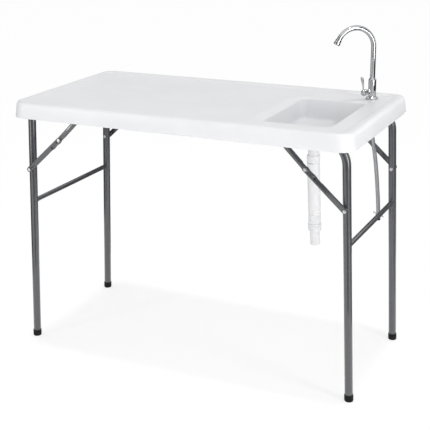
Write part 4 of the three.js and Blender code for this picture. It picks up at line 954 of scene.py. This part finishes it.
class TABLE_OT_tap(bpy.types.Operator):
    """Makes the gooseneck tap with its flange, valve and lever, and dresses its nuts"""

    bl_idname = "table.tap"
    bl_label = "Gooseneck tap"

    flange_foot, flange_height = RECESS_FLOOR + FIT, 8.5
    shank_foot, socket_floor, sleeve_head = 770, 873, 903
    valve_height, valve_turn, valve_drop = 862, math.radians(235), math.radians(8)
    spout_turn, spout_arc = math.radians(222), math.radians(151.5)
    bend_height, bend_radius, outlet_run = 1001, 63, 8
    aerator_floor = 11
    knob_foot, knob_radius, knob_height = 31.6, 9.6, 8
    handle_rise, handle_lean, handle_sides, handle_steps = 53, 8, 28, 24
    handle_start, swell_start, tip_start, tip_width = 0.12, 0.3, 0.86, 0.04

    def flange(self):
        foot, head = self.flange_foot, self.flange_foot + self.flange_height
        return turned([(19.5, foot, 0.5), (19.5, foot + 2.5, 0.9), (17, foot + 4.7, 1.5),
                       (12.5, head, 1)], 80, bore=10.3)

    def sleeve(self):
        foot, floor, head = self.shank_foot, self.socket_floor, self.sleeve_head
        seat = self.flange_foot + self.flange_height + FIT
        return turned([(10, foot, 0.6), (10, seat), (12.2, seat, 0.5), (12.2, head - 6, 1.5),
                       (8.6, head, 0.6), (8.3, head - 0.4), (8.3, floor)], 72, bore=6)

    def aerator(self):
        """The outlet's ring, and the mesh disc inside it."""
        ring = turned([
            (7.4, 1.4, 0.4), (8.2, 0, 0.5), (9.9, 0, 0.8), (10.2, 2, 0.8), (10.2, 9.2, 0.6),
            (9.5, 10.2, 0.5), (9.5, 17, 1), (8.3, 17), (8.3, self.aerator_floor)], 64)
        return joined(ring, turned([(7.6, 0.9), (7.6, 1.6)], 32))

    def branch(self):
        return turned([(7.5, 9.7), (7.5, 12.2, 1), (6, 17, 3), (6, 21, 1), (9, 23, 0.8), (9, 27, 0.5)])

    def bonnet(self):
        return turned([(9.3, 27.3, 0.2), (10, 28, 0.4), (10, 30.6, 0.4), (9.3, 31.3, 0.2)], 64)

    def lever(self, at_valve):
        """The knob, and its handle that rises, widens and leans outwards."""
        foot, radius, head = self.knob_foot, self.knob_radius, self.knob_foot + self.knob_height
        knob = turned([(radius, foot, 0.6), (radius, head - 1.4, 2.4), (5.5, head, 2)])
        root = at_valve @ Vector((0, 0, foot + self.knob_height / 2))
        outward = direction(self.valve_turn)
        wide = outward.cross(UP)
        sections = []
        for i in range(self.handle_steps + 1):
            reach = self.handle_start + (1 - self.handle_start) * i / self.handle_steps
            swell = eased((reach - self.swell_start) / 0.55)
            past = max(0.0, (reach - self.tip_start) / (1 - self.tip_start))
            tip = max(self.tip_width, math.sqrt(max(0.0, 1 - past ** 2)))
            half_width = (2.2 + 3.4 * swell) * tip
            half_depth = (1.9 + 2.3 * swell) * tip
            lean = outward * (self.handle_lean * reach * reach)
            centre = root + UP * (self.handle_rise * reach) + lean
            turns = [math.tau * k / self.handle_sides for k in range(self.handle_sides)]
            sections.append([centre + wide * (half_width * math.cos(turn))
                             - outward * (half_depth * math.sin(turn)) for turn in turns])
        handle = bmesh.new()
        for end in grown_rings(handle, sections):
            bmesh.ops.contextual_create(handle, geom=end)
        bmesh.ops.recalc_face_normals(handle, faces=handle.faces)
        return joined(placed(knob, at_valve), handle)

    def execute(self, context):
        radius = context.scene.table_tap.spout_diameter / MM / 2
        at_tap = Matrix.Translation((TAP_X, TAP_Y, 0))
        at_valve = turned_up(
            (TAP_X, TAP_Y, self.valve_height), direction(self.valve_turn, self.valve_drop))
        start = Vector((TAP_X, TAP_Y, self.socket_floor + FIT))
        stations = bend_stations(
            start, UP, direction(self.spout_turn), self.bend_height - start.z, self.bend_radius,
            self.spout_arc, self.outlet_run, steps=40)
        spout = swept(
            stations, radius, sides=48, side=direction(self.spout_turn + math.pi / 2), end_round=0.8)
        end, exit_way = stations[-1]
        at_outlet = turned_up(end + exit_way * (self.aerator_floor + FIT), -exit_way)
        body = joined(placed(self.sleeve(), at_tap), placed(self.branch(), at_valve))
        for bm, name, moving, replaced in (
                (placed(self.flange(), at_tap), "tap_base_flange", "top", "tap_flange"),
                (body, "tap_sleeve", "top", "tap_body"),
                (spout, "tap_gooseneck", "spout", "tap_spout"),
                (placed(self.aerator(), at_outlet), "tap_outlet", "spout", "tap_aerator"),
                (placed(self.bonnet(), at_valve), "valve_ring", "top", "valve_bonnet"),
                (self.lever(at_valve), "tap_handle", "lever", "tap_lever")):
            finished(bm, name, "chrome", moving, replaced)
        dressed("shank_washer", "rubber")
        dressed("shank_nut", "zinc")
        dressed("hose_coupling_nut", "zinc")
        return {"FINISHED"}


# Supply hose

# The hose's route as in the frame, in metres.
HOSE_ROUTE = (
    (0.470, 0.211, 0.7687), (0.4702, 0.211, 0.755), (0.472, 0.211, 0.738), (0.476, 0.2106, 0.715),
    (0.4815, 0.2098, 0.685), (0.487, 0.2088, 0.655), (0.492, 0.2076, 0.625), (0.496, 0.2062, 0.595),
    (0.4996, 0.2048, 0.565), (0.5028, 0.2032, 0.535), (0.5058, 0.2016, 0.508), (0.5074, 0.2002, 0.488),
    (0.5088, 0.1992, 0.473), (0.5098, 0.1984, 0.459))


class TABLE_OT_supply_hose(bpy.types.Operator):
    """Makes the braided supply hose with its winged sleeve and its tip"""

    bl_idname = "table.supply_hose"
    bl_label = "Supply hose"

    radius = 6.3
    wing_size, wing_place = (40, 3, 7), 6.3
    wing_span = Vector((0.933, -0.25, -0.259)).normalized()

    def map_along(self, bm, stations, lengths):
        """Gives the hose its own map: U round it and V along it in metres."""
        layer = bm.loops.layers.uv.new("along")
        unplaced = [station_matrix(*station, BACKWARD).inverted() for station in stations]
        for face in bm.faces:
            turns = []
            for loop in face.loops:
                nearest = min(range(len(stations)), key=lambda i: abs(
                    (loop.vert.co - stations[i][0]).dot(stations[i][1])))
                local = unplaced[nearest] @ loop.vert.co
                turns.append((math.atan2(local.y, local.x) / math.tau % 1, lengths[nearest] * MM))
            if max(turn for turn, _ in turns) - min(turn for turn, _ in turns) > 0.5:
                turns = [(turn + 1 if turn < 0.5 else turn, along) for turn, along in turns]
            for loop, place in zip(face.loops, turns):
                loop[layer].uv = place

    def execute(self, context):
        points = [Vector(point) / MM for point in HOSE_ROUTE]
        stations = [(point, (after - before).normalized()) for point, before, after in zip(
            points, points[:1] + points, points[1:] + points[-1:])]
        lengths = [0.0]
        for before, after in zip(points, points[1:]):
            lengths.append(lengths[-1] + (after - before).length)
        bm = swept(stations, self.radius, sides=24)
        self.map_along(bm, stations, lengths)
        hose = finished(bm, "supply_hose_braid", "braid", "top", "supply_hose")
        end, way = stations[-1]
        fitting = turned_up(end, way)
        sleeve = turned([(7.6, 0.3, 0.6), (8.4, 1.6, 0.6), (8.4, 12.6, 0.6), (7.6, 14, 0.6)])
        wings = placed(slab(self.wing_size, edge=1.1), standing(
            end + way * self.wing_place, self.wing_span, way.cross(self.wing_span).normalized()))
        sleeve = finished(joined(placed(sleeve, fitting), wings), "hose_winged_sleeve", "zinc", "top",
                          "hose_wing_sleeve")
        tip = turned([(6.6, 14.3, 0.4), (6.6, 23, 1), (5.9, 25.3, 0.8), (3.5, 25.3, 0.4), (3.5, 18.7)])
        tip = finished(placed(tip, fitting), "hose_black_tip", "rubber", "top", "hose_tip")
        return {"FINISHED"}


# Stage, in metres

AT_TAP = (TAP_X * MM, TAP_Y * MM)
AT_RIGHT_LEG = (0.55, -0.24)
AT_LEFT_LEG = (-0.566, -0.24)

# Dark cards: middle of the foot, width and height, and the place that the card faces
FLAGS = (
    ("left_flag", (-1.3, -0.05, 0), (1.3, 2.6), AT_TAP),
    ("right_flag", (2.2, 0.1, 0), (1.3, 2.6), AT_TAP),
    ("front_flag", (0.3, -1.9, 0.24), (1.5, 2.4), AT_TAP),
    ("back_flag", (-0.67, 1.0, 0), (3.08, 0.93), (-0.67, 0)),
    ("back_right_flag", (2.03, 1.0, 0), (2.3, 0.76), (2.03, 0)),
    ("low_flag", (-0.9, 0.55, 0), (2.0, 0.82), (-0.9, 0)),
    ("right_leg_flag", (0.745, -0.70, 0), (0.4, 0.75), AT_RIGHT_LEG),
    ("left_leg_flag", (-0.27, -0.639, 0), (0.32, 0.75), AT_LEFT_LEG),
    ("right_side_flag", (0.966, 0.037, 0), (0.5, 0.75), AT_RIGHT_LEG),
    ("left_side_flag", (-1.036, -0.407, 0), (0.5, 0.75), AT_LEFT_LEG),
)

# Lamps: place, width and height, share of the left lamp's power, and whether shiny pieces mirror it
LAMPS = (
    ("left_lamp", (-1.9, -2.7, 1.3), (0.25, 1.8), 1, True),
    ("right_lamp", (3.0, -1.0, 1.2), (0.55, 2.0), 2.5, True),
    ("front_lamp", (1.0, -3.6, 1.4), (1.6, 1.6), 1.4, False),
)
LAMP_TARGET = Vector((0, 0, 0.6))


class TABLE_OT_stage(bpy.types.Operator):
    """Sets the camera, the floor, the lamps and the pale background"""

    bl_idname = "table.stage"
    bl_label = "Stage"

    location = Vector((1.3997, -2.9082, 1.5335))
    yaw, pitch, roll = math.radians(-25.519), math.radians(17.221), math.radians(-0.561)
    lens, shift = 85.723, -0.0605
    floor_size, floor_glow, floor_faint = 20, 0.70, (0.34, 0.34, 0.34, 1)
    card_colour = (0.02, 0.02, 0.02, 1)
    shadow_blur = math.radians(6)

    def camera(self, scene):
        data = bpy.data.cameras.new("camera")
        data.sensor_width = 36
        data.lens = self.lens
        data.shift_y = self.shift
        scene.camera = linked_object("camera", data)
        scene.camera.matrix_world = (
            Matrix.Translation(self.location) @ Matrix.Rotation(-self.yaw, 4, "Z")
            @ Matrix.Rotation(math.pi / 2 - self.pitch, 4, "X") @ Matrix.Rotation(self.roll, 4, "Z"))

    def split_rays(self, tree, lighting, shown, output):
        """Shows one shader to the camera, a mirror or a clear body, and another to all other rays."""
        path = node(tree, "ShaderNodeLightPath").outputs
        seen = math_node(tree, "MAXIMUM", path["Is Camera Ray"], path["Is Glossy Ray"])
        seen = math_node(tree, "MAXIMUM", seen, path["Is Transmission Ray"])
        mix = node(tree, "ShaderNodeMixShader", {
            "Fac": seen, 1: lighting.outputs[0], 2: shown.outputs[0]})
        node(tree, output, {"Surface": mix.outputs[0]})

    def floor(self, colour):
        bm = bmesh.new()
        bmesh.ops.create_grid(bm, x_segments=1, y_segments=1, size=self.floor_size)
        floor = mesh_object("floor", bm)
        material = bpy.data.materials.new("floor")
        material.use_nodes = True
        tree = material.node_tree
        tree.nodes.clear()
        matte = node(tree, "ShaderNodeBsdfDiffuse", {"Color": (*colour, 1)})
        glow = node(tree, "ShaderNodeEmission", {"Color": WHITE, "Strength": self.floor_glow})
        faint = node(tree, "ShaderNodeBsdfDiffuse", {"Color": self.floor_faint})
        shown = node(tree, "ShaderNodeAddShader", {0: glow.outputs[0], 1: faint.outputs[0]})
        self.split_rays(tree, matte, shown, "ShaderNodeOutputMaterial")
        floor.data.materials.append(material)

    def sky(self, scene, strength):
        scene.world = bpy.data.worlds.new("sky")
        scene.world.use_nodes = True
        tree = scene.world.node_tree
        tree.nodes.clear()
        even = node(tree, "ShaderNodeBackground", {"Color": WHITE, "Strength": strength})
        white = node(tree, "ShaderNodeBackground", {"Color": WHITE})
        self.split_rays(tree, even, white, "ShaderNodeOutputWorld")

    def flag(self, name, foot, size, aim):
        """A dark card that only shiny pieces see, as a photographer stands round a chrome tap."""
        bm = bmesh.new()
        bmesh.ops.create_grid(bm, x_segments=1, y_segments=1, size=0.5)
        bmesh.ops.scale(bm, vec=(*size, 1), verts=bm.verts)
        toward = Vector((aim[0] - foot[0], aim[1] - foot[1], 0))
        turn = toward.to_track_quat("Z", "Y").to_matrix().to_4x4()
        middle = Vector(foot) + UP * (size[1] / 2)
        card = mesh_object(name, placed(bm, Matrix.Translation(middle) @ turn))
        material = bpy.data.materials.new(name)
        material.use_nodes = True
        shader = material.node_tree.nodes["Principled BSDF"]
        shader.inputs["Base Color"].default_value = self.card_colour
        card.data.materials.append(material)
        card.visible_camera = False
        card.visible_diffuse = False
        card.visible_shadow = False
        card.visible_transmission = False

    def lamp(self, name, place, size, power, mirrors):
        data = bpy.data.lights.new(name, "AREA")
        data.shape = "RECTANGLE"
        data.size, data.size_y = size
        data.energy = power
        lamp = linked_object(name, data)
        lamp.location = place
        lamp.rotation_euler = (LAMP_TARGET - Vector(place)).to_track_quat("-Z", "Y").to_euler()
        lamp.visible_glossy = mirrors

    def top_lamp(self, strength):
        """A soft light from straight above, which puts the table's shadow on the floor."""
        data = bpy.data.lights.new("top_lamp", "SUN")
        data.energy = strength
        data.angle = self.shadow_blur
        linked_object("top_lamp", data).location = (0, 0, 3)

    def execute(self, context):
        scene = context.scene
        settings = scene.table_stage
        self.camera(scene)
        self.floor(tuple(settings.floor_colour))
        self.sky(scene, settings.sky_strength)
        for flag in FLAGS:
            self.flag(*flag)
        for name, place, size, share, mirrors in LAMPS:
            self.lamp(name, place, size, settings.key_power * share, mirrors)
        self.top_lamp(settings.top_strength)
        scene.view_settings.view_transform = "Standard"
        return {"FINISHED"}


# Panel and registration

class TABLE_PT_panel(bpy.types.Panel):
    """Lists the table's settings and its operators in the order in which they run"""

    bl_label = "Fish cleaning table"
    bl_space_type = "VIEW_3D"
    bl_region_type = "UI"
    bl_category = "Table"

    def draw(self, context):
        for group in SETTINGS:
            box = self.layout.box()
            for name in getattr(context.scene, group).bl_rna.properties.keys():
                if name not in ("rna_type", "name"):
                    box.prop(getattr(context.scene, group), name)
        for operator in OPERATORS:
            self.layout.operator(operator.bl_idname)


SETTINGS = {
    "table_top": TopSettings,
    "table_frames": FrameSettings,
    "table_tap": TapSettings,
    "table_drain": DrainSettings,
    "table_stage": StageSettings,
}
OPERATORS = (
    TABLE_OT_stage, TABLE_OT_surfaces, TABLE_OT_supply_hose, TABLE_OT_top, TABLE_OT_frames,
    TABLE_OT_braces, TABLE_OT_drain, TABLE_OT_tap)


def register():
    for cls in (*SETTINGS.values(), *OPERATORS, TABLE_PT_panel):
        bpy.utils.register_class(cls)
    for name, cls in SETTINGS.items():
        setattr(bpy.types.Scene, name, bpy.props.PointerProperty(type=cls))


def unregister():
    for name in SETTINGS:
        delattr(bpy.types.Scene, name)
    for cls in (TABLE_PT_panel, *reversed(OPERATORS), *reversed(SETTINGS.values())):
        bpy.utils.unregister_class(cls)


def main():
    register()
    bpy.ops.table.stage()
    bpy.ops.table.surfaces()
    bpy.ops.table.supply_hose()
    bpy.ops.table.top()
    bpy.ops.table.frames()
    bpy.ops.table.braces()
    bpy.ops.table.drain()
    bpy.ops.table.tap()


if __name__ == "__main__":
    main()
